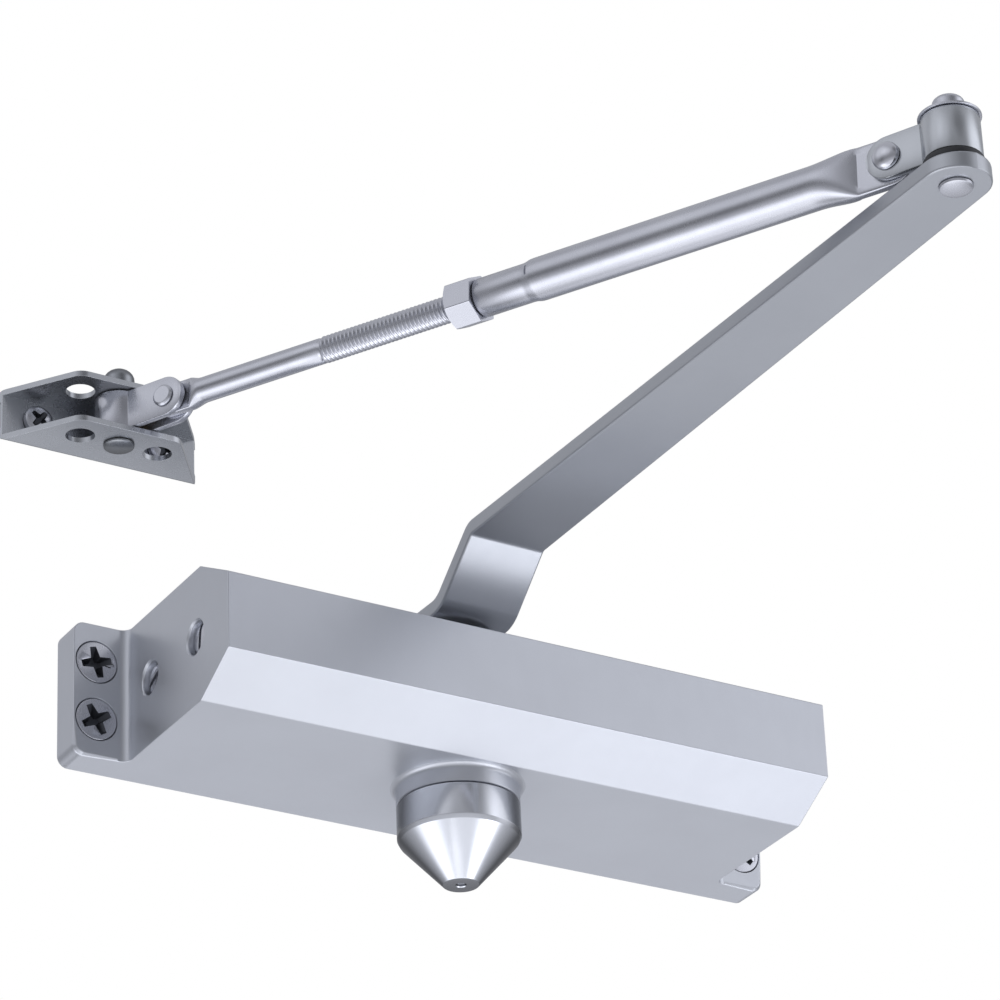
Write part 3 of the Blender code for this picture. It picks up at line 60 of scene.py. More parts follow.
# Body.
EAR_THICKNESS = 11.6 * MM
EAR_REACH = 18.0 * MM
EAR_CORNER = 3.5 * MM
EAR_FILLET = 3.0 * MM
EAR_CHAMFER = 1.0 * MM
FRONT_FACE_HEIGHT = 24.8 * MM
FRONT_CUT_DEPTH = 17.8 * MM
BODY_EDGE = 0.3 * MM
BODY_SHARP = 25.0
BOSS_HEIGHT = 6.0 * MM
BOSS_RADIUS = 19.0 * MM
BOSS_FLARE = 1.8 * MM
BOSS_RIM = 0.5 * MM
BOSS_SINK = 0.6 * MM
BORE_RADIUS = 17.0 * MM
BORE_START = 66.0 * MM
PLUG_LENGTH = 13.0 * MM
PLUG_HOLE = 18.9 * MM
PLUG_RIM = 0.5 * MM
PLUG_LINE = 14.0 * MM
KEY_HOLE = 2.0 * MM
KEY_HOLE_DEPTH = 4.0 * MM
KEY_HOLE_OFFSET = 9.0 * MM

# Bearing rings and the pinion's cap.
RING_HOLE = 12.8 * MM
RING_HOLE_RIM = 0.4 * MM
RING_BORE = 10.3 * MM
RING_LIP_BORE = 7.8 * MM
RING_LIP = 1.2 * MM
RING_SPOT = 0.9 * MM
RING_SPOT_CIRCLE = 10.4 * MM
RING_SPOT_DEPTH = 1.1 * MM
CAP_BORE = 17.3 * MM
CAP_SIDE = 10.4 * MM
CAP_SHOULDER = 0.7 * MM
CAP_SHOULDER_DROP = 1.3 * MM
CAP_TIP = 5.5 * MM
CAP_DIMPLE = 1.5 * MM
CAP_DIMPLE_DEPTH = 0.9 * MM
CAP_DIMPLE_POINT = 1.5 * MM
CAP_FLOOR = 2.4 * MM
CAP_FLOOR_RADIUS = 4.6 * MM

# Speed valves.
VALVE_HOLE = 5.4 * MM
VALVE_DEPTH = 12.0 * MM
VALVE_RIM = 0.45 * MM
VALVE_THREAD_PITCH = 0.8 * MM
VALVE_THREAD_DEPTH = 0.22 * MM
VALVE_HEAD_LENGTH = 5.5 * MM
VALVE_SHANK = 3.4 * MM
VALVE_SHANK_END = 17.0 * MM
VALVE_TIP = 1.0 * MM
VALVE_SLOT = 1.5 * MM
VALVE_SLOT_DEPTH = 2.2 * MM

# Fixing screws, in the ears and in the shoe.
SCREW_HEAD = 6.7 * MM
SCREW_HEAD_HEIGHT = 3.6 * MM
SCREW_RIM = 7.0 * MM
SCREW_SHANK = 3.0 * MM
SCREW_CROSS_DEPTH = 3.0 * MM
SCREW_THREAD = (9.0 * MM, 2.0 * MM, 0.7 * MM)  # start, pitch and depth
SCREW_POINT = 5.0 * MM
SHOE_SCREW_SHANK = 2.1 * MM
SHOE_SCREW_HEAD_HEIGHT = 2.4 * MM
SHOE_SCREW_SIDE = 1.3 * MM
SHOE_SCREW_CROWN = 0.9 * MM
SHOE_SCREW_CROSS_DEPTH = 1.6 * MM
SHOE_SCREW_THREAD = (4.4 * MM, 1.6 * MM, 0.5 * MM)

# Main arm and its screw.
ARM_LENGTH = 267.4 * MM
ARM_THICKNESS = 5.05 * MM
ARM_SLOPE = radians(41.2)
ARM_LOWER_BEND = 9.5 * MM
ARM_UPPER_BEND = 4.8 * MM
ARM_UPPER_REACH = 34.4 * MM
ARM_HUB = 13.6 * MM
ARM_END = 10.0 * MM
ARM_EDGE = 0.7 * MM
ARM_SCREW_HEAD = 5.0 * MM
ARM_SCREW_HEAD_HEIGHT = 5.0 * MM
ARM_SCREW_SHANK = 3.0 * MM
ARM_SCREW_SOCKET = 2.9 * MM
ARM_SCREW_SOCKET_DEPTH = 2.8 * MM
ARM_WASHER_BORE = 3.3 * MM

# Elbow and shoe pins.
ELBOW_PIN = 4.5 * MM
ELBOW_PIN_FOOT = 4.2 * MM
ELBOW_BUTTON = 4.8 * MM
ELBOW_BUTTON_HEIGHT = 0.9 * MM
ELBOW_HEAD_HEIGHT = 6.2 * MM
ELBOW_DOME = 2.6 * MM
SHOE_PIN = 4.0 * MM
SHOE_PIN_HEAD = 4.7 * MM
SHOE_PIN_HEAD_HEIGHT = 8.3 * MM
SHOE_PIN_DOME = 4.2 * MM
SHOE_PIN_BUTTON_HEIGHT = 0.8 * MM

# Straps and rivets.
STRAP = 2.0 * MM
STRAP_BEND = 0.4 * MM
STRAP_EDGE = 0.3 * MM
STRAP_TIP = 0.04 * MM
THINNEST = 0.05 * MM
GAP = 0.3 * MM
ELBOW_STRAP_BORE = 6.3 * MM
ELBOW_STRAP_HEIGHT = 13.1 * MM
YOKE_BORE = 5.3 * MM
YOKE_HEIGHT = 12.7 * MM
YOKE_BUSH_BORE = 4.3 * MM
YOKE_BUSH = 5.0 * MM
RIVET_SHANK = 2.5 * MM
ELBOW_RIVET = (4.1 * MM, 2.6 * MM)  # its head's radius and height
YOKE_RIVET = (3.4 * MM, 1.0 * MM)

# Forearm.
TONGUE = 3.0 * MM
TONGUE_SQUARENESS = 0.28
TUBE_RADIUS = 6.3 * MM
TUBE_BORE = 4.3 * MM
TUBE_BORE_DEPTH = 95.0 * MM
TUBE_LENGTH = 134.5 * MM
TUBE_TONGUE = 10.5 * MM
TUBE_FLARE_END = 25.0 * MM
TUBE_HALF_TONGUE = 7.7 * MM
NECK_RADIUS = 5.75 * MM
NECK_START = 116.0 * MM
DASH_HALF_WIDTH = 0.35 * MM
DASH_DEPTH = 0.9 * MM
NUT_LENGTH = 9.0 * MM
NUT_FLATS = 13.0 * MM
NUT_HOLE = 4.3 * MM
NUT_MOUTH = 4.9 * MM
THREAD_RADIUS = 4.0 * MM
THREAD_START = 84.5 * MM
THREAD_END = 189.2 * MM
THREAD_PITCH = 1.4 * MM
THREAD_DEPTH = 0.62 * MM
THREAD_CORE = 2.6 * MM
ROD_RADIUS = 3.85 * MM
ROD_TONGUE = 7.5 * MM
ROD_FLARE_END = 12.5 * MM
ROD_HALF_TONGUE = 5.0 * MM

# Shoe.
SHOE_THICKNESS = 1.8 * MM
SHOE_BEND = 2.4 * MM
SHOE_CORNER = 5.0 * MM
SHOE_HALF_FRONT = 16.5 * MM
SHOE_HOLE = 4.4 * MM
SHOE_HOLE_OFFSET = 12.8 * MM
SHOE_PIN_HOLE = 4.35 * MM
SHOE_SCREW_HOLE = 2.4 * MM
WEB_CUT = 0.9 * MM
WEB_CUT_END = 3.2 * MM
WEB_CUT_RISE = 1.0 * MM

# Sides of round pieces.
FINE = 72
MIDDLE = 48

# Studio.
FLOOR_LEVEL = -1.25
FLOOR_HALF_SIZE = 0.6
CAMERA_SPOT = (-0.6622, -1.1587, -0.6165)
CAMERA_AZIMUTH = radians(-31.33)
CAMERA_ELEVATION = radians(-28.06)
CAMERA_ROLL = radians(-2.41)
CAMERA_LENS = 168.34


# ---- meshes

def place(origin, x_axis, y_axis=None):
    """A frame whose X runs along x_axis; its Z is as near to world Z as it can be."""
    x = Vector(x_axis).normalized()
    y = Vector(y_axis).normalized() if y_axis else Vector((0, 0, 1)).cross(x).normalized()
    z = x.cross(y)
    turn = Matrix((x, y, z)).transposed().to_4x4()
    return Matrix.Translation(Vector(origin)) @ turn


def along(axis, origin=(0, 0, 0)):
    """A frame whose Z runs along the world axis named, for pieces turned about it."""
    turns = {
        "X": Matrix(((0, 0, 1), (1, 0, 0), (0, 1, 0))),
        "Y": Matrix(((0, 1, 0), (0, 0, 1), (1, 0, 0))),
        "Z": Matrix(((1, 0, 0), (0, 1, 0), (0, 0, 1))),
    }
    return Matrix.Translation(Vector(origin)) @ turns[axis].to_4x4()


def arc(centre, radius, start, end, steps):
    points = []
    for k in range(steps + 1):
        angle = start + (end - start) * k / steps
        points.append((centre[0] + radius * cos(angle), centre[1] + radius * sin(angle)))
    return points


def soften(points, radius, closed=False, steps=4, keep=()):
    """Rounds a polyline's corners: less where a side is short, and not at all at those in keep."""
    count = len(points)
    made = []
    for i, point in enumerate(points):
        here = Vector(point)
        if (not closed and i in (0, count - 1)) or i in keep:
            made.append(tuple(here))
            continue
        before = Vector(points[i - 1]) - here
        after = Vector(points[(i + 1) % count]) - here
        cosine = max(-1.0, min(1.0, before.normalized().dot(after.normalized())))
        half = acos(cosine) / 2
        if half > radians(86) or half < radians(2):
            made.append(tuple(here))
            continue
        reach = min(radius / tan(half), 0.45 * before.length, 0.45 * after.length)
        turn = reach * tan(half)
        middle = here + (before.normalized() + after.normalized()).normalized() * turn / sin(half)
        first = here + before.normalized() * reach - middle
        last = here + after.normalized() * reach - middle
        start = atan2(first.y, first.x)
        sweep = (atan2(last.y, last.x) - start + pi) % (2 * pi) - pi
        made += arc(middle, turn, start, start + sweep, steps)
    return made


def skin(shape, rings):
    """Joins rings of equal count with quads, and closes both ends."""
    made = [[shape.verts.new(point) for point in ring] for ring in rings]
    for first, second in zip(made, made[1:]):
        count = len(first)
        for k in range(count):
            m = (k + 1) % count
            shape.faces.new((first[k], first[m], second[m], second[k]))
    shape.faces.new(made[0])
    shape.faces.new(made[-1])


def prism(outline, low, high, plane="XY"):
    """Extrudes an outline in the plane named, from low to high along the third axis."""
    turns = {
        "XY": lambda a, b, c: (a, b, c),
        "XZ": lambda a, b, c: (a, c, b),
        "YZ": lambda a, b, c: (c, a, b),
    }
    shape = bmesh.new()
    skin(shape, [[turns[plane](a, b, level) for a, b in outline] for level in (low, high)])
    return shape


def turned(profile, sides=FINE):
    """A solid of revolution about Z; a profile that starts off the axis closes on itself."""
    shape = bmesh.new()
    rings = []
    for radius, height in profile:
        if radius < 1e-7:
            rings.append([shape.verts.new((0, 0, height))])
        else:
            angles = [2 * pi * k / sides for k in range(sides)]
            rings.append([shape.verts.new((radius * cos(a), radius * sin(a), height)) for a in angles])
    pairs = list(zip(rings, rings[1:]))
    if profile[0][0] > 1e-7:
        pairs.append((rings[-1], rings[0]))
    for first, second in pairs:
        for k in range(sides):
            m = (k + 1) % sides
            corners = [first[k % len(first)], first[m % len(first)]]
            corners += [second[m % len(second)], second[k % len(second)]]
            unique = [corner for i, corner in enumerate(corners) if corner not in corners[:i]]
            if len(unique) > 2:
                shape.faces.new(unique)
    return shape


def disc(radius, low, high, sides=MIDDLE):
    return turned([(0, low), (radius, low), (radius, high), (0, high)], sides)


def washer(inner, outer, low, high, edge):
    corners = [(inner, low), (outer, low), (outer, high), (inner, high)]
    return turned(soften(corners, edge, closed=True, steps=3))


def dome(radius, base, height, steps=8):
    """(radius, height) points of a button head, from its seat to its top on the axis."""
    rim = 0.12 * height
    points = [(radius, base), (radius, base + rim)]
    for k in range(1, steps):
        angle = pi / 2 * k / steps
        points.append((radius * cos(angle), base + rim + (height - rim) * sin(angle)))
    return points + [(0, base + height)]


def moved(shape, matrix):
    bmesh.ops.transform(shape, matrix=matrix, verts=shape.verts)
    return shape


def threaded_rings(x_start, x_end, major, depth, pitch, sides=24, per_pitch=6, taper=0.0):
    """Rings along X for a screw thread; over the last stretch, taper long, it narrows to a point."""
    rings = []
    count = int((x_end - x_start) / pitch * per_pitch)
    for i in range(count + 1):
        x = x_start + (x_end - x_start) * i / count
        scale = 1.0
        if taper:
            scale = max(0.06, min(1.0, (x_end - x) / taper))
        ring = []
        for k in range(sides):
            angle = 2 * pi * k / sides
            phase = (x / pitch - angle / (2 * pi)) % 1.0
            height = 1.0 - abs(2 * phase - 1.0)
            height = min(1.0, max(0.0, 1.35 * height - 0.1))
            radius = (major - depth + depth * height) * scale
            ring.append((x, radius * cos(angle), radius * sin(angle)))
        rings.append(ring)
    return rings


# ---- objects

def mesh_object(name, shape, sharp=30.0):
    bmesh.ops.remove_doubles(shape, verts=shape.verts, dist=1e-6)
    bmesh.ops.recalc_face_normals(shape, faces=shape.faces)
    mesh = bpy.data.meshes.new(name)
    shape.to_mesh(mesh)
    shape.free()
    mesh.shade_smooth()
    mesh.set_sharp_from_angle(angle=radians(sharp))
    made = bpy.data.objects.new(name, mesh)
    bpy.context.scene.collection.objects.link(made)
    return made


def bake(made, sharp=30.0):
    """Replaces an object's mesh with the result of its modifiers."""
    bpy.context.view_layer.update()
    graph = bpy.context.evaluated_depsgraph_get()
    mesh = bpy.data.meshes.new_from_object(made.evaluated_get(graph))
    made.modifiers.clear()
    made.data = mesh
    mesh.shade_smooth()
    mesh.set_sharp_from_angle(angle=radians(sharp))


def boolean(made, operation, *shapes, sharp=30.0, cut_look=None):
    """Cuts shapes from an object, or joins them on; a cut's faces can take a look of their own."""
    for shape in shapes:
        tool = mesh_object("tool", shape)
        if cut_look:
            tool.data.materials.append(cut_look)
        modifier = made.modifiers.new("Boolean", "BOOLEAN")
        modifier.operation = operation
        modifier.solver = "EXACT"
        modifier.object = tool
        modifier.material_mode = "TRANSFER"
        bake(made, sharp)
        bpy.data.objects.remove(tool)


def round_edges(made, width, segments, angle):
    modifier = made.modifiers.new("Bevel", "BEVEL")
    modifier.width = width
    modifier.segments = segments
    modifier.limit_method = "ANGLE"
    modifier.angle_limit = radians(angle)
    modifier.harden_normals = True
    modifier.use_clamp_overlap = True


def flatten(made):
    """Gives large flat faces an even shade, whatever small faces meet them."""
    modifier = made.modifiers.new("Weighted", "WEIGHTED_NORMAL")
    modifier.keep_sharp = True
    modifier.weight = 90


def stand_for(made, look, *nodes):
    """The piece takes the nodes' place: it rides on their body, takes the look given and hides the nodes."""
    if made.data.materials:
        made.data.materials[0] = LOOKS[look]
    else:
        made.data.materials.append(LOOKS[look])
    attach(made, BODY_OF[nodes[0]])
    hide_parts(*nodes)


def middle(node):
    low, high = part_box(node)
    return (low + high) / 2


# ---- materials

def node(tree, kind, **inputs):
    made = tree.nodes.new(kind)
    for name, value in inputs.items():
        made.inputs[name].default_value = value
    return made


def mapped_noise(tree, scale, stretch=(1, 1, 1), detail=4.0, roughness=0.55):
    coordinates = tree.nodes.new("ShaderNodeTexCoord")
    mapping = tree.nodes.new("ShaderNodeMapping")
    mapping.inputs["Scale"].default_value = stretch
    noise = node(tree, "ShaderNodeTexNoise", Scale=scale, Detail=detail, Roughness=roughness)
    tree.links.new(coordinates.outputs["Object"], mapping.inputs["Vector"])
    tree.links.new(mapping.outputs["Vector"], noise.inputs["Vector"])
    return noise.outputs["Fac"]


def ramp(tree, source, low, high, low_value, high_value, smooth=False):
    """Maps a value from low..high to low_value..high_value, clamped."""
    made = tree.nodes.new("ShaderNodeMapRange")
    if smooth:
        made.interpolation_type = "SMOOTHSTEP"
    sockets = ("From Min", "From Max", "To Min", "To Max")
    for name, value in zip(sockets, (low, high, low_value, high_value)):
        made.inputs[name].default_value = value
    tree.links.new(source, made.inputs["Value"])
    return made.outputs["Result"]


def blend_colour(tree, share, first, second):
    made = tree.nodes.new("ShaderNodeMix")
    made.data_type = "RGBA"
    tree.links.new(share, made.inputs["Factor"])
    for socket, colour in (("A", first), ("B", second)):
        target = [s for s in made.inputs if s.name == socket and s.type == "RGBA"][0]
        if isinstance(colour, tuple):
            target.default_value = (*colour, 1)
        else:
            tree.links.new(colour, target)
    return [s for s in made.outputs if s.type == "RGBA"][0]


def bump(tree, layers):
    """Stacks bumps: (height source, distance in metres, strength) each."""
    last = None
    for source, distance, strength in layers:
        made = node(tree, "ShaderNodeBump", Strength=strength, Distance=distance)
        tree.links.new(source, made.inputs["Height"])
        if last:
            tree.links.new(last, made.inputs["Normal"])
        last = made.outputs["Normal"]
    return last


def new_material(name):
    material = bpy.data.materials.new(name)
    material.use_nodes = True
    tree = material.node_tree
    return material, tree, tree.nodes["Principled BSDF"]


def metal(name, light, dark, metallic, roughness, spread, grain, texture, stretch=(1, 1, 1), rim=1.0):
    """A worn, faintly mottled metal or paint; a rim under 1 paints shade into its colour where its surface turns
    away from the view, darkest at the outline.
    """
    material, tree, shader = new_material(name)
    shader.inputs["Metallic"].default_value = metallic
    cloud = mapped_noise(tree, 38.0, detail=3.0)
    fine = mapped_noise(tree, grain, stretch, detail=3.0, roughness=0.6)
    scuff = mapped_noise(tree, 260.0, (1, 1, 0.25), detail=6.0, roughness=0.7)
    base = blend_colour(tree, ramp(tree, cloud, 0.3, 0.7, 0.0, 1.0), dark, light)
    speck = ramp(tree, fine, 0.62, 0.78, 0.0, 0.15)
    base = blend_colour(tree, speck, base, tuple(0.82 * c for c in dark))
    mark = ramp(tree, scuff, 0.66, 0.8, 0.0, 0.3)
    base = blend_colour(tree, mark, base, tuple(min(1.0, 1.12 * c) for c in light))
    # Painted shade: below rim 1 the colour darkens towards the outline, where the surface turns away from the
    # view.
    if rim < 1.0:
        turn_away_shade = node(tree, "ShaderNodeLayerWeight", Blend=0.5)
        share = ramp(tree, turn_away_shade.outputs["Facing"], 0.22, 0.62, 0.0, 1.0)
        base = blend_colour(tree, share, base, tuple(rim * c for c in dark))
    tree.links.new(base, shader.inputs["Base Color"])
    worn = ramp(tree, scuff, 0.3, 0.75, roughness - spread, roughness + spread)
    tree.links.new(worn, shader.inputs["Roughness"])
    normal = bump(tree, [(fine, 0.05 * MM, texture), (scuff, 0.03 * MM, texture * 0.6)])
    tree.links.new(normal, shader.inputs["Normal"])
    return material


def moulded(name, colour, roughness, grain):
    """Moulded plastic or rubber: nearly even colour, a fine matt grain and slight mould marks."""
    material, tree, shader = new_material(name)
    fine = mapped_noise(tree, grain, detail=5.0)
    cloud = mapped_noise(tree, 90.0, detail=2.0)
    share = ramp(tree, cloud, 0.3, 0.7, 0.0, 1.0)
    base = blend_colour(tree, share, colour, tuple(1.5 * c for c in colour))
    tree.links.new(base, shader.inputs["Base Color"])
    worn = ramp(tree, cloud, 0.3, 0.7, roughness - 0.06, roughness + 0.06)
    tree.links.new(worn, shader.inputs["Roughness"])
    tree.links.new(bump(tree, [(fine, 0.04 * MM, 0.4)]), shader.inputs["Normal"])
    return material


# Each metal: light and dark colour, metallic value, roughness and its spread, grain and its depth.
LOOKS = {
    "paint": metal(
        "satin_silver_paint", (0.60, 0.62, 0.665), (0.58, 0.598, 0.642),
        0.82, 0.34, 0.02, 2600.0, 0.10,
    ),
    "arm": metal(
        "arm_silver_paint", (0.475, 0.492, 0.525), (0.455, 0.472, 0.505),
        0.82, 0.32, 0.02, 2600.0, 0.10,
    ),
    # Turned cap: rim 0.24 paints shade into its colour towards its outline.
    "cap": metal(
        "turned_cap_silver_painted_rim_shade", (0.76, 0.78, 0.83), (0.70, 0.72, 0.77),
        0.94, 0.20, 0.03, 3200.0, 0.05, rim=0.24,
    ),
    "dark_plate": metal(
        "dull_zinc_plate", (0.47, 0.485, 0.515), (0.42, 0.435, 0.46),
        0.92, 0.28, 0.03, 3200.0, 0.05,
    ),
    "plate": metal(
        "bright_zinc_plate", (0.63, 0.64, 0.69), (0.57, 0.58, 0.63),
        0.94, 0.27, 0.03, 3200.0, 0.05,
    ),
    "strap": metal(
        "bent_strap_plate", (0.58, 0.60, 0.63), (0.53, 0.55, 0.58),
        0.94, 0.24, 0.03, 3200.0, 0.10,
    ),
    # Shoe pin: rim 0.5 paints shade into its colour towards its outline.
    "pin": metal(
        "dull_pin_steel_painted_rim_shade", (0.37, 0.385, 0.41), (0.32, 0.335, 0.36),
        0.92, 0.26, 0.03, 3200.0, 0.06, rim=0.5,
    ),
    "bright": metal(
        "turned_silver", (0.66, 0.67, 0.72), (0.60, 0.61, 0.66),
        0.96, 0.20, 0.03, 3200.0, 0.08,
    ),
    "steel": metal(
        "ground_steel", (0.50, 0.50, 0.52), (0.42, 0.42, 0.44),
        1.0, 0.32, 0.05, 1800.0, 0.2, stretch=(1, 1, 6),
    ),
    # Painted shade: a near-black metal for the faces of the cross recesses, where shade falls.
    "recess": metal(
        "painted_recess_shade", (0.10, 0.105, 0.12), (0.06, 0.064, 0.075),
        0.8, 0.45, 0.05, 2400.0, 0.2,
    ),
    "bronze": metal(
        "bearing_bronze", (0.55, 0.38, 0.19), (0.45, 0.29, 0.13),
        1.0, 0.36, 0.05, 2200.0, 0.25,
    ),
    "nylon": moulded("black_nylon", (0.022, 0.023, 0.026), 0.45, 3000.0),
    "rubber": moulded("seal_rubber", (0.018, 0.018, 0.019), 0.62, 2500.0),
}
SLOT_LOOKS = {
    "silver_paint": "paint", "body_paint": "paint", "zinc_plate": "plate", "ground_steel": "steel",
    "bearing_bronze": "bronze", "dark_nylon": "nylon", "seal_rubber": "rubber",
}


# ---- body

def body_sizes():
    low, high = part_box("housing")
    left = low.x + EAR_REACH
    right = high.x - EAR_REACH
    return left, right, low.y, high.z


BODY_LEFT, BODY_RIGHT, FRONT, TOP = body_sizes()
PINION = Vector((0, FRONT / 2, 0))
PINION_AXIS = along("Z", PINION)


def notch(end_x, side):
    """What is cut away in front of an ear."""
    outer = end_x + side * (EAR_REACH + OVER)
    front = FRONT - OVER
    corners = [(outer, front), (end_x, front), (end_x, -EAR_THICKNESS), (outer, -EAR_THICKNESS)]
    outline = soften(corners, EAR_FILLET, closed=True, steps=8, keep=(0, 1, 3))
    return prism(outline, -TOP - OVER, TOP + OVER)


def front_cut(side):
    """What is cut away above or below the front face."""
    slope = (TOP - FRONT_FACE_HEIGHT / 2) / FRONT_CUT_DEPTH
    start = FRONT + FRONT_CUT_DEPTH + OVER
    half_face = FRONT_FACE_HEIGHT / 2
    outline = [
        (start, side * (TOP + OVER * slope)),
        (FRONT - OVER, side * (half_face - OVER * slope)),
        (FRONT - OVER, side * (TOP + 3 * OVER)),
        (start, side * (TOP + 3 * OVER)),
    ]
    return prism(outline, BODY_LEFT - OVER, BODY_RIGHT + OVER, "YZ")


def chamfer_ears(made):
    """Widens the bevel along the lower front edge of both ears."""
    shape = bmesh.new()
    shape.from_mesh(made.data)
    chosen = []
    for edge in shape.edges:
        ends = [vertex.co for vertex in edge.verts]
        at_front = all(abs(co.y + EAR_THICKNESS) < 0.02 * MM for co in ends)
        low = all(co.z < -TOP + EAR_CORNER + 0.1 * MM for co in ends)
        outside = all(
            co.x < BODY_LEFT - EAR_FILLET / 2 or co.x > BODY_RIGHT + EAR_FILLET / 2 for co in ends
        )
        rim = len(edge.link_faces) == 2 and edge.calc_face_angle(0.0) > radians(60)
        if at_front and low and outside and rim:
            chosen.append(edge)
    bmesh.ops.bevel(shape, geom=chosen, offset=EAR_CHAMFER, segments=1, affect="EDGES", profile=0.5)
    shape.to_mesh(made.data)
    shape.free()


def boss():
    """The round boss under the body, flared where it meets the casting."""
    low = -TOP - BOSS_HEIGHT
    flare = arc((BOSS_RADIUS + BOSS_FLARE, -TOP - BOSS_FLARE), BOSS_FLARE, pi, radians(94), 10)
    corner = 0.3 * BOSS_RIM
    foot = [(0, low), (BOSS_RADIUS - BOSS_RIM, low), (BOSS_RADIUS - corner, low + corner)]
    foot.append((BOSS_RADIUS, low + BOSS_RIM))
    inside = -TOP + BOSS_SINK
    return turned(foot + flare + [(flare[-1][0] + BOSS_RIM, inside), (0, inside)])


def screw_seat(number):
    """A countersunk hole in an ear."""
    low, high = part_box(f"body_screw_{number}")
    spot = ((low.x + high.x) / 2, -EAR_THICKNESS, (low.z + high.z) / 2)
    neck = SCREW_SHANK + GAP
    mouth = SCREW_RIM + 0.15 * MM
    through = EAR_THICKNESS + 2.4 * MM
    profile = [(0, -OVER), (mouth, -OVER), (mouth, -0.05 * MM), (SCREW_RIM, 0.15 * MM)]
    profile += [(SCREW_RIM, 0.7 * MM), (neck, SCREW_HEAD_HEIGHT + GAP), (neck, through), (0, through)]
    return moved(turned(profile), along("Y", spot))


def valve_pocket(centre):
    """A threaded hole for a speed valve."""
    root = VALVE_HOLE - VALVE_THREAD_DEPTH
    mouth = VALVE_HOLE + VALVE_RIM
    profile = [(0, -OVER), (mouth, -OVER), (mouth, 0), (VALVE_HOLE, VALVE_RIM)]
    depth = VALVE_RIM
    while depth + VALVE_THREAD_PITCH < VALVE_DEPTH:
        profile += [(root, depth + VALVE_THREAD_PITCH / 2), (VALVE_HOLE, depth + VALVE_THREAD_PITCH)]
        depth += VALVE_THREAD_PITCH
    profile += [(root, VALVE_DEPTH), (0, VALVE_DEPTH)]
    return moved(turned(profile, MIDDLE), along("X", (BODY_LEFT, centre.y, centre.z)))


def bore():
    """The piston's bore, wider at its end for the plug."""
    step = BODY_RIGHT - PLUG_LENGTH - GAP
    outside = BODY_RIGHT + OVER
    profile = [(0, -BORE_START), (BORE_RADIUS, -BORE_START), (BORE_RADIUS, step), (PLUG_HOLE, step)]
    profile += [(PLUG_HOLE, BODY_RIGHT - PLUG_RIM), (PLUG_HOLE + PLUG_RIM, BODY_RIGHT)]
    profile += [(PLUG_HOLE + PLUG_RIM, outside), (0, outside)]
    return moved(turned(profile), along("X", PINION))


def ring_hole():
    """The hole for both bearing rings."""
    start = -40 * MM
    mouth = RING_HOLE + RING_HOLE_RIM
    profile = [(0, start), (RING_HOLE, start), (RING_HOLE, TOP - RING_HOLE_RIM), (mouth, TOP)]
    profile += [(mouth, TOP + OVER), (0, TOP + OVER)]
    return moved(turned(profile), PINION_AXIS)


def make_body():
    left = BODY_LEFT - EAR_REACH
    right = BODY_RIGHT + EAR_REACH
    corners = [(left, -TOP), (right, -TOP), (right, TOP), (left, TOP)]
    outline = soften(corners, EAR_CORNER, closed=True, steps=8)
    body = mesh_object("closer_body", prism(outline, FRONT, 0, "XZ"), BODY_SHARP)
    cuts = (notch(BODY_LEFT, -1), notch(BODY_RIGHT, 1), front_cut(1), front_cut(-1))
    boolean(body, "DIFFERENCE", *cuts, sharp=BODY_SHARP)
    chamfer_ears(body)
    round_edges(body, BODY_EDGE, 4, BODY_SHARP)
    bake(body, BODY_SHARP)
    holes = [screw_seat(number) for number in range(1, 5)]
    holes += [valve_pocket(middle(valve)) for valve in ("sweep_valve_screw", "latch_valve_screw")]
    boolean(body, "DIFFERENCE", *holes, sharp=BODY_SHARP)
    boolean(body, "UNION", moved(boss(), PINION_AXIS), sharp=BODY_SHARP)
    boolean(body, "DIFFERENCE", bore(), ring_hole(), sharp=BODY_SHARP)
    flatten(body)
    stand_for(body, "paint", "housing")


def make_cap():
    low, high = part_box("pinion_cap")
    top, tip = high.z, low.z
    shoulder = top - CAP_SIDE
    floor = tip + CAP_FLOOR
    outer = [
        (CAP_BORE, top), (BOSS_RADIUS, top), (BOSS_RADIUS, shoulder),
        (BOSS_RADIUS - CAP_SHOULDER, shoulder - CAP_SHOULDER_DROP),
        (CAP_TIP, tip), (CAP_DIMPLE + 0.25 * MM, tip), (CAP_DIMPLE, tip + 0.25 * MM),
        (CAP_DIMPLE, tip + CAP_DIMPLE_DEPTH), (0, tip + CAP_DIMPLE_POINT),
    ]
    outer = soften(outer, 0.5 * MM, steps=4, keep=(5, 6, 7))
    inner = [(0, floor), (CAP_FLOOR_RADIUS, floor), (CAP_BORE, shoulder)]
    shape = moved(turned(outer + inner, 96), PINION_AXIS)
    stand_for(mesh_object("pinion_cap_shell", shape, 40.0), "cap", "pinion_cap")


def make_plug():
    low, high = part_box("end_plug")
    radius = (high.z - low.z) / 2
    profile = [(0, low.x), (radius, low.x), (radius, high.x), (PLUG_LINE + PLUG_RIM, high.x)]
    profile += [(PLUG_LINE, high.x - PLUG_RIM), (PLUG_LINE - PLUG_RIM, high.x), (0, high.x)]
    shape = turned(soften(profile, PLUG_RIM, keep=(3, 4, 5)))
    plug = mesh_object("end_plug_face", moved(shape, along("X", PINION)))
    for side in (-1, 1):
        spot = PINION + Vector((0, side * KEY_HOLE_OFFSET, 0))
        hole = disc(KEY_HOLE, high.x - KEY_HOLE_DEPTH, high.x + OVER, 24)
        boolean(plug, "DIFFERENCE", moved(hole, along("X", spot)))
    flatten(plug)
    stand_for(plug, "plate", "end_plug")


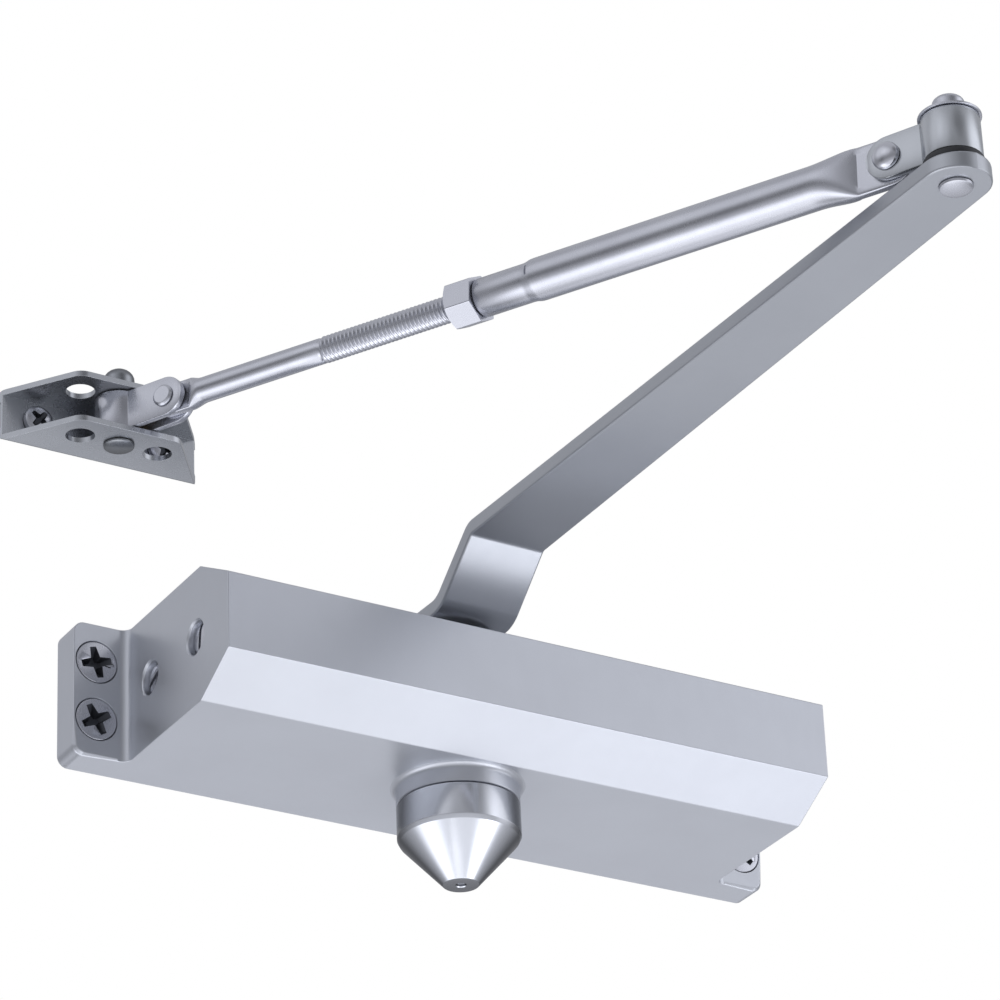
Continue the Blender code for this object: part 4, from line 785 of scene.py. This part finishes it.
def make_bearing_ring(name, side):
    low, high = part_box(name)
    outer = (high.x - low.x) / 2
    inner_z, outer_z = (low.z, high.z) if side > 0 else (high.z, low.z)
    lip = outer_z - side * RING_LIP
    corners = [
        (RING_BORE, inner_z), (outer, inner_z), (outer, outer_z),
        (RING_LIP_BORE, outer_z), (RING_LIP_BORE, lip), (RING_BORE, lip),
    ]
    shape = turned(soften(corners, 0.4 * MM, closed=True))
    ring = mesh_object(f"{name}_turned", moved(shape, PINION_AXIS))
    ends = sorted((outer_z - side * RING_SPOT_DEPTH, outer_z + side * OVER / 2))
    for k in range(4):
        angle = pi / 4 + k * pi / 2
        spot = PINION + Vector((RING_SPOT_CIRCLE * cos(angle), RING_SPOT_CIRCLE * sin(angle), 0))
        boolean(ring, "DIFFERENCE", moved(disc(RING_SPOT, *ends, 16), along("Z", spot)))
    stand_for(ring, "plate", name)


# ---- screws

def cross_cutter(radius, depth, turn):
    """A cross recess that narrows as it goes down +Z from the head's face at z = 0."""
    shape = bmesh.new()
    rings = []
    for level, reach, width in ((-0.6 * MM, 0.80, 0.17), (0.0, 0.76, 0.155), (depth, 0.34, 0.095)):
        r, w = radius * reach, radius * width
        c = 1.5 * w
        corners = [(r, -w), (r, w), (c, c), (w, r), (-w, r), (-c, c)]
        corners += [(-r, w), (-r, -w), (-c, -c), (-w, -r), (w, -r), (c, -c)]
        rings.append([(a, b, level) for a, b in corners])
    skin(shape, rings)
    return moved(shape, Matrix.Rotation(turn, 4, "Z"))


def make_screw(name, face, shank, thread, radius, cross_depth, turn):
    """A screw with a turned head, a threaded shank and a cross recess."""
    low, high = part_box(name)
    start, pitch, depth = thread
    shape = turned(face + [(shank - depth, start), (0, start)], MIDDLE)
    length = high.y - low.y
    rings = threaded_rings(start - 0.5 * MM, length, shank, depth, pitch, sides=20, taper=SCREW_POINT)
    skin(shape, [[(y, z, x) for x, y, z in ring] for ring in rings])
    screw = mesh_object(f"{name}_cross_head", shape)
    screw.data.materials.append(LOOKS["plate"])
    # The cross recess's faces take the recess look: painted shade.
    boolean(screw, "DIFFERENCE", cross_cutter(radius, cross_depth, turn), cut_look=LOOKS["recess"])
    screw.data.transform(along("Y", ((low.x + high.x) / 2, low.y, (low.z + high.z) / 2)))
    stand_for(screw, "plate", name)


def make_body_screw(number, turn):
    face = [(0, 0), (SCREW_HEAD - 0.02 * MM, 0), (SCREW_HEAD, 0.5 * MM)]
    face = soften(face + [(SCREW_SHANK, SCREW_HEAD_HEIGHT)], 0.3 * MM)
    name = f"body_screw_{number}"
    make_screw(name, face, SCREW_SHANK, SCREW_THREAD, SCREW_HEAD, SCREW_CROSS_DEPTH, turn)


def make_shoe_screw(number, turn):
    name = f"shoe_screw_{number}"
    low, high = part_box(name)
    radius = (high.x - low.x) / 2
    crown = [(radius * sin(a), SHOE_SCREW_CROWN * (1 - cos(a))) for a in (0.5, 0.9, 1.2, 1.45)]
    seat = SHOE_SCREW_HEAD_HEIGHT
    face = [(0, 0)] + crown + [(radius, SHOE_SCREW_SIDE), (radius, seat), (SHOE_SCREW_SHANK, seat)]
    make_screw(name, face, SHOE_SCREW_SHANK, SHOE_SCREW_THREAD, radius, SHOE_SCREW_CROSS_DEPTH, turn)


def make_valve_screw(name, turn):
    low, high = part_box(name)
    centre = (low + high) / 2
    radius = VALVE_HOLE - VALVE_RIM
    start = low.x - BODY_LEFT
    end = high.x - BODY_LEFT
    head_end = start + VALVE_HEAD_LENGTH
    face = [(0, start), (radius * 0.55, start + 0.05 * MM), (radius * 0.85, start + 0.4 * MM)]
    face += [(radius, start + 1.1 * MM), (radius, head_end), (VALVE_SHANK, head_end)]
    face += [(VALVE_SHANK, VALVE_SHANK_END), (VALVE_TIP, end), (0, end)]
    screw = mesh_object(f"{name}_slotted", turned(face, MIDDLE))
    half = VALVE_SLOT / 2
    floor = start + VALVE_SLOT_DEPTH
    slot_outline = [(-half, start - OVER), (half, start - OVER), (half, floor), (-half, floor)]
    boolean(screw, "DIFFERENCE", prism(slot_outline, -8 * MM, 8 * MM, "XZ"))
    screw.data.transform(Matrix.Rotation(turn, 4, "Z"))
    screw.data.transform(along("X", (BODY_LEFT, centre.y, centre.z)))
    stand_for(screw, "bright", name)


# ---- arm

ELBOW_X, ELBOW_Y, _ = JOINTS["elbow_swing"]["pos_m"]
ARM_FRAME = place(PINION, (ELBOW_X, ELBOW_Y - PINION.y, 0))


def arm_path():
    """The arm's middle line in its own frame: x, z and the angle of its thickness direction."""
    low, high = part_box("main_arm")
    under = low.z + ARM_THICKNESS / 2
    over = high.z - ARM_THICKNESS / 2
    half = ARM_THICKNESS / 2
    upper_x = ARM_UPPER_REACH - half * tan(ARM_SLOPE / 2)
    lower_x = upper_x - (over - under) / tan(ARM_SLOPE)
    lower_start = lower_x - ARM_LOWER_BEND * tan(ARM_SLOPE / 2)
    upper_end = upper_x + ARM_UPPER_BEND * tan(ARM_SLOPE / 2)
    path = []
    for k in range(15):
        path.append((-ARM_HUB * cos(pi / 2 * k / 15), under, 0.0))
    path += [(lower_start * k / 4, under, 0.0) for k in range(1, 4)]
    for k in range(11):
        angle = ARM_SLOPE * k / 10
        rise = ARM_LOWER_BEND * (1 - cos(angle))
        path.append((lower_start + ARM_LOWER_BEND * sin(angle), under + rise, angle))
    for k in range(11):
        angle = ARM_SLOPE * (1 - k / 10)
        drop = ARM_UPPER_BEND * (1 - cos(angle))
        path.append((upper_end - ARM_UPPER_BEND * sin(angle), over - drop, angle))
    for k in range(1, 25):
        path.append((upper_end + (ARM_LENGTH - upper_end) * k / 24, over, 0.0))
    for k in range(1, 16):
        path.append((ARM_LENGTH + ARM_END * sin(pi / 2 * k / 15), over, 0.0))
    return path


def arm_half_width(x):
    slope = (ARM_HUB - ARM_END) / ARM_LENGTH
    if x < ARM_HUB * slope:
        return sqrt(max(0.0, ARM_HUB**2 - x**2))
    if x > ARM_LENGTH + ARM_END * slope:
        return sqrt(max(0.0, ARM_END**2 - (x - ARM_LENGTH) ** 2))
    return (ARM_HUB - slope * x) / sqrt(1 - slope**2)


def make_arm():
    shape = bmesh.new()
    rings = []
    for x, z, angle in arm_path():
        half = max(arm_half_width(x), THINNEST)
        edge = min(ARM_EDGE, 0.9 * half)
        t = ARM_THICKNESS / 2
        section = soften([(-half, -t), (half, -t), (half, t), (-half, t)], edge, closed=True, steps=3)
        rings.append([(x - b * sin(angle), a, z + b * cos(angle)) for a, b in section])
    skin(shape, rings)
    arm = mesh_object("main_arm_bar", moved(shape, ARM_FRAME), 40.0)
    flatten(arm)
    stand_for(arm, "arm", "main_arm")


def make_arm_screw():
    low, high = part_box("arm_screw")
    seat = high.z - ARM_SCREW_HEAD_HEIGHT
    profile = [(0, low.z), (ARM_SCREW_SHANK - 0.4 * MM, low.z), (ARM_SCREW_SHANK, low.z + 0.5 * MM)]
    profile += [(ARM_SCREW_SHANK, seat), (ARM_SCREW_HEAD, seat), (ARM_SCREW_HEAD, high.z), (0, high.z)]
    shape = turned(soften(profile, 0.4 * MM, keep=(1, 2, 3)))
    screw = mesh_object("arm_socket_screw", moved(shape, PINION_AXIS))
    socket = disc(ARM_SCREW_SOCKET, high.z - ARM_SCREW_SOCKET_DEPTH, high.z + OVER / 2, 6)
    boolean(screw, "DIFFERENCE", moved(socket, PINION_AXIS))
    stand_for(screw, "plate", "arm_screw")


def make_washer(name, bore, edge, spot, look, sharp=45.0):
    low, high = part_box(name)
    ring = washer(bore, (high.x - low.x) / 2, low.z, high.z, edge)
    stand_for(mesh_object(f"{name}_turned", moved(ring, spot), sharp), look, name)


def make_elbow():
    spot = along("Z", (ELBOW_X, ELBOW_Y, 0))
    low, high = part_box("elbow_pin")
    head = high.z - ELBOW_HEAD_HEIGHT
    rise = high.z - ELBOW_DOME
    foot = low.z + ELBOW_BUTTON_HEIGHT
    profile = [(0, low.z), (ELBOW_BUTTON - 1.2 * MM, low.z)]
    profile += [(ELBOW_BUTTON - 0.25 * MM, low.z + 0.3 * MM), (ELBOW_BUTTON, foot)]
    profile += [(ELBOW_PIN_FOOT, foot), (ELBOW_PIN_FOOT, head), (ELBOW_PIN, head)]
    profile += dome(ELBOW_PIN, rise, ELBOW_DOME)
    pin = mesh_object("elbow_pin_turned", moved(turned(profile), spot), 45.0)
    stand_for(pin, "plate", "elbow_pin")
    make_washer("elbow_spacer", ELBOW_PIN, 0.3 * MM, spot, "nylon")
    make_washer("elbow_washer", ELBOW_PIN, 0.2 * MM, spot, "plate")
    make_washer("elbow_bush", ELBOW_PIN, 0.2 * MM, spot, "bronze")


# ---- straps and rivets

def strap_shape(bore, height, rivet_x):
    """A strip bent round a bush, both legs pinched together, their ends full round about the rivet."""
    mean = bore + STRAP / 2
    leg_y = TONGUE / 2 + GAP + STRAP / 2
    half = height / 2
    end = []
    for k in range(14):
        x = rivet_x + half * cos(pi / 2 * k / 13)
        end.append((x, max(STRAP_TIP, sqrt(max(0.0, half**2 - (x - rivet_x) ** 2)))))
    path = [(x, leg_y, reach, (0, 1)) for x, reach in end]
    bend_y = leg_y + STRAP / 2 + STRAP_BEND
    bend_x = sqrt((mean + STRAP / 2 + STRAP_BEND) ** 2 - bend_y**2)
    bend_turn = atan2(bend_y, bend_x)
    radius = STRAP_BEND + STRAP / 2
    for k in range(7):
        angle = -pi / 2 - (pi / 2 - bend_turn) * k / 6
        along_x, along_y = cos(angle), sin(angle)
        path.append((bend_x + radius * along_x, bend_y + radius * along_y, half, (-along_x, -along_y)))
    for k in range(1, 30):
        angle = bend_turn + (2 * pi - 2 * bend_turn) * k / 29
        path.append((mean * cos(angle), mean * sin(angle), half, (cos(angle), sin(angle))))
    for k in range(1, 7):
        angle = pi / 2 + (pi / 2 - bend_turn) * (1 - k / 6)
        along_x, along_y = cos(angle), sin(angle)
        path.append((bend_x + radius * along_x, -bend_y + radius * along_y, half, (-along_x, -along_y)))
    path += [(x, -leg_y, reach, (0, -1)) for x, reach in reversed(end)]
    shape = bmesh.new()
    rings = []
    t = STRAP / 2
    for x, y, reach, (nx, ny) in path:
        edge = min(STRAP_EDGE, 0.8 * reach)
        section = soften([(-t, -reach), (t, -reach), (t, reach), (-t, reach)], edge, True, 2)
        rings.append([(x + a * nx, y + a * ny, b) for a, b in section])
    skin(shape, rings)
    return shape


def rivet_shape(radius, height, flat=False):
    seat = TONGUE / 2 + 2 * GAP + STRAP
    if flat:
        top = seat + height
        head = [(radius, seat), (radius, seat + 0.45 * height), (radius * 0.8, top), (0, top)]
        head = soften(head, 0.4 * MM)
    else:
        head = dome(radius, seat, height, 10)
    far = [(r, -z) for r, z in reversed(head)]
    return turned(far + [(RIVET_SHANK, -seat), (RIVET_SHANK, seat)] + head, MIDDLE)


def make_straps():
    elbow = Vector(JOINTS["elbow_swing"]["pos_m"])
    rivet = Vector(JOINTS["forearm_tilt"]["pos_m"])
    run = rivet - elbow
    shape = strap_shape(ELBOW_STRAP_BORE, ELBOW_STRAP_HEIGHT, run.length)
    strap = mesh_object("elbow_strap_bent", moved(shape, place(elbow, run)), 40.0)
    stand_for(strap, "strap", "elbow_strap")
    turn = Matrix.Rotation(-pi / 2, 4, "X")
    head = rivet_shape(*ELBOW_RIVET)
    made = mesh_object("elbow_rivet_domed", moved(head, place(rivet, run) @ turn), 40.0)
    stand_for(made, "bright", "elbow_rivet")
    pin = Vector(JOINTS["shoe_swing"]["pos_m"])
    rivet = Vector(JOINTS["yoke_tilt"]["pos_m"])
    run = rivet - pin
    shape = strap_shape(YOKE_BORE, YOKE_HEIGHT, run.length)
    yoke = mesh_object("shoe_yoke_bent", moved(shape, place(pin, run)), 40.0)
    stand_for(yoke, "plate", "shoe_yoke")
    head = rivet_shape(*YOKE_RIVET, flat=True)
    made = mesh_object("yoke_rivet_peened", moved(head, place(rivet, run) @ turn), 40.0)
    stand_for(made, "bright", "yoke_rivet")
    bush = washer(YOKE_BUSH_BORE, YOKE_BUSH, -YOKE_HEIGHT / 2, YOKE_HEIGHT / 2, 0.15 * MM)
    made = mesh_object("yoke_bush_turned", moved(bush, along("Z", pin)))
    stand_for(made, "bronze", "yoke_bush")


# ---- forearm

FOREARM = place(
    JOINTS["forearm_tilt"]["pos_m"],
    JOINTS["rod_adjust"]["axis"],
    JOINTS["forearm_tilt"]["axis"],
)
RIVET_RUN = (Vector(JOINTS["yoke_tilt"]["pos_m"]) - Vector(JOINTS["forearm_tilt"]["pos_m"])).length


def pressed_section(x, half_y, half_z, power, sides=48):
    """A ring across the forearm: round at power 1, and nearer to a flat plate as the power falls."""
    ring = []
    for k in range(sides):
        angle = 2 * pi * (k + 0.5) / sides
        y = half_y * abs(cos(angle)) ** power * (1 if cos(angle) > 0 else -1)
        z = half_z * abs(sin(angle)) ** power * (1 if sin(angle) > 0 else -1)
        ring.append((x, y, z))
    return ring


def pressed_end(direction, tip, flat_end, round_start, half_height, radius, steps=18):
    """Rings from a full round tip, along the flat tongue, to where the tube or rod is round again."""
    rings = []
    half = TONGUE / 2
    for k in range(12):
        angle = pi / 2 * k / 12
        reach = max(THINNEST, half_height * sin(angle))
        x = tip - direction * half_height * cos(angle)
        rings.append(pressed_section(x, half, reach, TONGUE_SQUARENESS))
    run = flat_end - tip
    for k in range(4):
        rings.append(pressed_section(tip + run * k / 3, half, half_height, TONGUE_SQUARENESS))
    for k in range(1, steps + 1):
        share = k / steps
        swell = 1 - (1 - share) ** 2.4
        shrink = share * share * (3 - 2 * share)
        x = flat_end + (round_start - flat_end) * share
        half_z = half_height + (radius - half_height) * shrink
        power = TONGUE_SQUARENESS + (1 - TONGUE_SQUARENESS) * swell
        rings.append(pressed_section(x, half + (radius - half) * swell, half_z, power))
    return rings


def make_tube():
    rings = pressed_end(1, 0.0, TUBE_TONGUE, TUBE_FLARE_END, TUBE_HALF_TONGUE, TUBE_RADIUS)
    stations = [(60 * MM, TUBE_RADIUS), (NECK_START - 1.5 * MM, TUBE_RADIUS)]
    stations += [(NECK_START - 0.4 * MM, TUBE_RADIUS - 0.06 * MM)]
    stations += [(NECK_START + 1.2 * MM, NECK_RADIUS + 0.1 * MM), (NECK_START + 2.4 * MM, NECK_RADIUS)]
    end = TUBE_LENGTH
    stations += [(end - 0.5 * MM, NECK_RADIUS), (end - 0.1 * MM, NECK_RADIUS - 0.25 * MM)]
    stations += [(end, NECK_RADIUS - 0.5 * MM), (end, TUBE_BORE), (end - TUBE_BORE_DEPTH, TUBE_BORE)]
    rings += [pressed_section(x, radius, radius, 1.0) for x, radius in stations]
    shape = bmesh.new()
    skin(shape, rings)
    tube = mesh_object("forearm_tube_pressed", shape, 35.0)
    low, high = NECK_START - DASH_HALF_WIDTH, NECK_START + DASH_HALF_WIDTH
    dash = [(low, -0.9 * MM), (high, -0.9 * MM), (high, 2.2 * MM), (low, 2.2 * MM)]
    cutter = prism(dash, TUBE_RADIUS - DASH_DEPTH, TUBE_RADIUS + OVER / 2, "XZ")
    boolean(tube, "DIFFERENCE", cutter, sharp=35.0)
    tube.data.transform(FOREARM)
    stand_for(tube, "plate", "forearm_tube")


def make_rod():
    shape = bmesh.new()
    tip = RIVET_RUN
    rings = pressed_end(-1, tip, tip - ROD_TONGUE, tip - ROD_FLARE_END, ROD_HALF_TONGUE, ROD_RADIUS, 12)
    for x in (THREAD_END + 12 * MM, THREAD_END + 1.2 * MM):
        rings.append(pressed_section(x, ROD_RADIUS, ROD_RADIUS, 1.0))
    shoulder = ROD_RADIUS - 0.3 * MM
    rings.append(pressed_section(THREAD_END + 0.5 * MM, shoulder, shoulder, 1.0))
    thread = threaded_rings(
        THREAD_START, THREAD_END, THREAD_RADIUS, THREAD_DEPTH, THREAD_PITCH, sides=48, per_pitch=8
    )
    rings += list(reversed(thread))
    rings.append(pressed_section(THREAD_START - 0.1 * MM, THREAD_CORE, THREAD_CORE, 1.0))
    skin(shape, rings)
    rod = mesh_object("forearm_rod_threaded", moved(shape, FOREARM), 60.0)
    stand_for(rod, "plate", "forearm_rod")


def make_nut():
    corner = NUT_FLATS / sqrt(3)
    start = TUBE_LENGTH + GAP
    end = start + NUT_LENGTH
    angles = [pi / 6 + pi / 3 * k for k in range(6)]
    points = [(corner * cos(angle), corner * sin(angle)) for angle in angles]
    hexagon = prism(soften(points, 0.5 * MM, closed=True, steps=3), start, end, "YZ")
    nut = mesh_object("lock_nut_chamfered", hexagon)
    face = NUT_FLATS / 2 - 0.1 * MM
    edge = corner + 0.3 * MM
    rise = (edge - face) * tan(radians(30))
    barrel = [(0, start), (face, start), (edge, start + rise), (edge, end - rise), (face, end), (0, end)]
    boolean(nut, "INTERSECT", moved(turned(barrel, 96), along("X")))
    hole = [(0, start - OVER / 2), (NUT_MOUTH, start - OVER / 2), (NUT_HOLE, start + 0.6 * MM)]
    hole += [(NUT_HOLE, end - 0.6 * MM), (NUT_MOUTH, end + OVER / 2), (0, end + OVER / 2)]
    boolean(nut, "DIFFERENCE", moved(turned(hole, MIDDLE), along("X")))
    nut.data.transform(FOREARM)
    round_edges(nut, 0.15 * MM, 2, 24.0)
    flatten(nut)
    stand_for(nut, "plate", "lock_nut")


# ---- shoe

def make_shoe():
    pin = Vector(JOINTS["shoe_swing"]["pos_m"])
    low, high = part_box("shoe_bracket")
    back, front = high.y, low.y
    t = SHOE_THICKNESS
    channel = [(front, low.z), (back, low.z), (back, high.z), (front, high.z)]
    channel += [(front, high.z - t), (back - t, high.z - t), (back - t, low.z + t), (front, low.z + t)]
    outer = soften(channel, SHOE_BEND, closed=True, steps=6, keep=(0, 3, 4, 5, 6, 7))
    shape = prism(outer, low.x - OVER / 2, high.x + OVER / 2, "YZ")
    bracket = mesh_object("shoe_channel", shape)
    centre = (low.x + high.x) / 2
    corners = [(low.x, back + OVER), (low.x, back), (centre - SHOE_HALF_FRONT, front)]
    corners += [(centre + SHOE_HALF_FRONT, front), (high.x, back), (high.x, back + OVER)]
    plan = soften(corners, SHOE_CORNER, closed=True, steps=8, keep=(0, 1, 4, 5))
    boolean(bracket, "INTERSECT", prism(plan, low.z - OVER, high.z + OVER))
    for side_x, inward in ((low.x, 1), (high.x, -1)):
        outer_x, inner_x = side_x - inward * OVER, side_x + inward * WEB_CUT
        inner_end = WEB_CUT_END + WEB_CUT_RISE
        web = [(outer_x, low.z + WEB_CUT_END), (inner_x, low.z + inner_end)]
        web += [(inner_x, high.z - inner_end), (outer_x, high.z - WEB_CUT_END)]
        boolean(bracket, "DIFFERENCE", prism(web, back - t - 1.5 * MM, back + OVER, "XZ"))
    aside = SHOE_HOLE_OFFSET
    for x, radius in ((pin.x, SHOE_PIN_HOLE), (pin.x - aside, SHOE_HOLE), (pin.x + aside, SHOE_HOLE)):
        hole = disc(radius, low.z - OVER / 2, high.z + OVER / 2)
        boolean(bracket, "DIFFERENCE", moved(hole, along("Z", (x, pin.y, 0))))
    for number in (1, 2):
        spot = middle(f"shoe_screw_{number}")
        hole = disc(SHOE_SCREW_HOLE, back - t - OVER / 2, back + OVER / 2, 24)
        boolean(bracket, "DIFFERENCE", moved(hole, along("Y", (spot.x, 0, spot.z))))
    round_edges(bracket, 0.22 * MM, 2, 35.0)
    flatten(bracket)
    stand_for(bracket, "dark_plate", "shoe_bracket")


def make_shoe_pin():
    pin = Vector(JOINTS["shoe_swing"]["pos_m"])
    low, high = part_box("shoe_pin")
    foot = low.z + SHOE_PIN_BUTTON_HEIGHT
    head = high.z - SHOE_PIN_HEAD_HEIGHT
    wide = SHOE_PIN_HEAD
    profile = [(0, low.z), (wide - 0.8 * MM, low.z), (wide - 0.1 * MM, low.z + 0.35 * MM)]
    profile += [(wide, foot), (SHOE_PIN, foot), (SHOE_PIN, head), (wide, head)]
    profile += dome(wide, high.z - SHOE_PIN_DOME, SHOE_PIN_DOME)
    made = mesh_object("shoe_pin_turned", moved(turned(profile), along("Z", (pin.x, pin.y, 0))), 45.0)
    stand_for(made, "pin", "shoe_pin")


# ---- light, camera and floor

def glow(tree, vector, centre, inner, outer, strength):
    """Strength within inner of the centre, falling smoothly to nothing at outer."""
    gap = tree.nodes.new("ShaderNodeVectorMath")
    gap.operation = "DISTANCE"
    gap.inputs[1].default_value = centre
    tree.links.new(vector, gap.inputs[0])
    return ramp(tree, gap.outputs["Value"], inner, outer, strength, 0.0, smooth=True)


def total(tree, *values):
    last = values[0]
    for value in values[1:]:
        added = tree.nodes.new("ShaderNodeMath")
        added.operation = "ADD"
        tree.links.new(last, added.inputs[0])
        tree.links.new(value, added.inputs[1])
        last = added.outputs["Value"]
    return last


# Soft lights of the studio: direction, full within, nothing beyond, radiance.
# One with a negative radiance is a dark screen.
SOFT_LIGHTS = (
    ((-0.58, 0.24, -0.78), 0.10, 0.50, 1.0),
    ((0.30, 0.02, -0.95), 0.14, 0.46, 1.05),
    ((0.48, -0.40, -0.78), 0.15, 0.38, 1.60),
    ((0.40, 0.80, -0.45), 0.20, 0.60, 0.15),
    ((-0.85, 0.10, 0.52), 0.15, 0.60, 0.35),
    ((0.80, -0.56, 0.22), 0.25, 0.68, 0.90),
    ((-0.79, -0.39, 0.47), 0.10, 0.50, 0.30),
    ((-0.38, 0.81, 0.45), 0.15, 0.55, 0.15),
    ((-0.05, -0.80, 0.60), 0.12, 0.45, -0.25),
    ((-1.00, 0.03, -0.03), 0.05, 0.40, -0.15),
    ((-0.01, 0.77, -0.64), 0.08, 0.34, -0.55),
    ((0.69, 0.34, -0.64), 0.08, 0.34, -0.55),
)


def make_world():
    """White to the camera; reflections see bright ground, a dim horizon, a grey room and soft lights."""
    world = bpy.data.worlds.new("studio")
    bpy.context.scene.world = world
    world.use_nodes = True
    tree = world.node_tree
    tree.nodes.clear()
    coordinates = tree.nodes.new("ShaderNodeTexCoord")
    split = tree.nodes.new("ShaderNodeSeparateXYZ")
    direction = coordinates.outputs["Generated"]
    tree.links.new(direction, split.inputs["Vector"])
    height = ramp(tree, split.outputs["Z"], -1.0, 1.0, 0.0, 1.0)
    bands = tree.nodes.new("ShaderNodeValToRGB")
    bands.color_ramp.interpolation = "EASE"
    stops = [(0.00, 0.95), (0.12, 0.90), (0.28, 0.52), (0.46, 0.30)]
    stops += [(0.56, 0.32), (0.75, 0.45), (1.00, 0.55)]
    ramp_points = bands.color_ramp.elements
    while len(ramp_points) < len(stops):
        ramp_points.new(0.5)
    for point, (position, level) in zip(ramp_points, stops):
        point.position = position
        point.color = (level, level, level, 1)
    tree.links.new(height, bands.inputs["Fac"])
    glows = [glow(tree, direction, *light) for light in SOFT_LIGHTS]
    level = total(tree, bands.outputs["Color"], *glows)
    room = node(tree, "ShaderNodeBackground", Color=(0.965, 0.98, 1.04, 1))
    tree.links.new(level, room.inputs["Strength"])
    white = node(tree, "ShaderNodeBackground", Color=(1, 1, 1, 1), Strength=1.0)
    rays = tree.nodes.new("ShaderNodeLightPath")
    mix = tree.nodes.new("ShaderNodeMixShader")
    out = tree.nodes.new("ShaderNodeOutputWorld")
    tree.links.new(rays.outputs["Is Camera Ray"], mix.inputs["Fac"])
    tree.links.new(room.outputs["Background"], mix.inputs[1])
    tree.links.new(white.outputs["Background"], mix.inputs[2])
    tree.links.new(mix.outputs["Shader"], out.inputs["Surface"])


def make_floor():
    """A small pale floor that gives off a little light."""
    shape = bmesh.new()
    size = FLOOR_HALF_SIZE
    for x, y in ((-size, -size), (size, -size), (size, size), (-size, size)):
        shape.verts.new((x, y, FLOOR_LEVEL))
    shape.faces.new(shape.verts)
    floor = mesh_object("studio_floor", shape)
    material, tree, shader = new_material("pale_floor")
    shader.inputs["Roughness"].default_value = 0.8
    shader.inputs["Emission Color"].default_value = (0.97, 0.98, 1.0, 1)
    grain = mapped_noise(tree, 12.0)
    colour = blend_colour(tree, grain, (0.80, 0.80, 0.81), (0.86, 0.86, 0.87))
    tree.links.new(colour, shader.inputs["Base Color"])
    tree.links.new(ramp(tree, grain, 0.3, 0.7, 0.93, 0.97), shader.inputs["Emission Strength"])
    floor.data.materials.append(material)


def make_camera():
    level = cos(CAMERA_ELEVATION)
    back = Vector((sin(CAMERA_AZIMUTH) * level, -cos(CAMERA_AZIMUTH) * level, sin(CAMERA_ELEVATION)))
    right = (-back).cross(Vector((0, 0, 1))).normalized()
    up = right.cross(-back)
    turned_right = right * cos(CAMERA_ROLL) + up * sin(CAMERA_ROLL)
    turned_up = up * cos(CAMERA_ROLL) - right * sin(CAMERA_ROLL)
    data = bpy.data.cameras.new("camera")
    data.sensor_width = 36.0
    data.lens = CAMERA_LENS
    data.clip_start, data.clip_end = 0.01, 20.0
    camera = bpy.data.objects.new("camera", data)
    bpy.context.scene.collection.objects.link(camera)
    matrix = Matrix((turned_right, turned_up, back)).transposed().to_4x4()
    matrix.translation = Vector(CAMERA_SPOT)
    camera.matrix_world = matrix
    bpy.context.scene.camera = camera


# ---- all of it

def dress_remaining():
    """Every CAD node that still shows gets the look of its slot."""
    for name, made in frame["nodes"].items():
        look = LOOKS[SLOT_LOOKS[SLOT_OF[name]]]
        made.data.materials.clear()
        made.data.materials.append(look)


make_body()
make_cap()
make_plug()
make_bearing_ring("upper_bearing_ring", 1)
make_bearing_ring("lower_bearing_ring", -1)
for screw_number, screw_turn in ((1, -15.0), (2, -29.0), (3, 12.0), (4, 38.0)):
    make_body_screw(screw_number, radians(screw_turn))
for screw_number, screw_turn in ((1, 40.0), (2, 20.0)):
    make_shoe_screw(screw_number, radians(screw_turn))
make_valve_screw("sweep_valve_screw", radians(8))
make_valve_screw("latch_valve_screw", radians(70))
make_arm()
make_arm_screw()
make_washer("arm_washer", ARM_WASHER_BORE, 0.35 * MM, PINION_AXIS, "plate", 30.0)
make_elbow()
make_straps()
make_tube()
make_rod()
make_nut()
make_shoe()
make_shoe_pin()
dress_remaining()
make_world()
make_floor()
make_camera()
bpy.context.scene.view_settings.view_transform = "Standard"
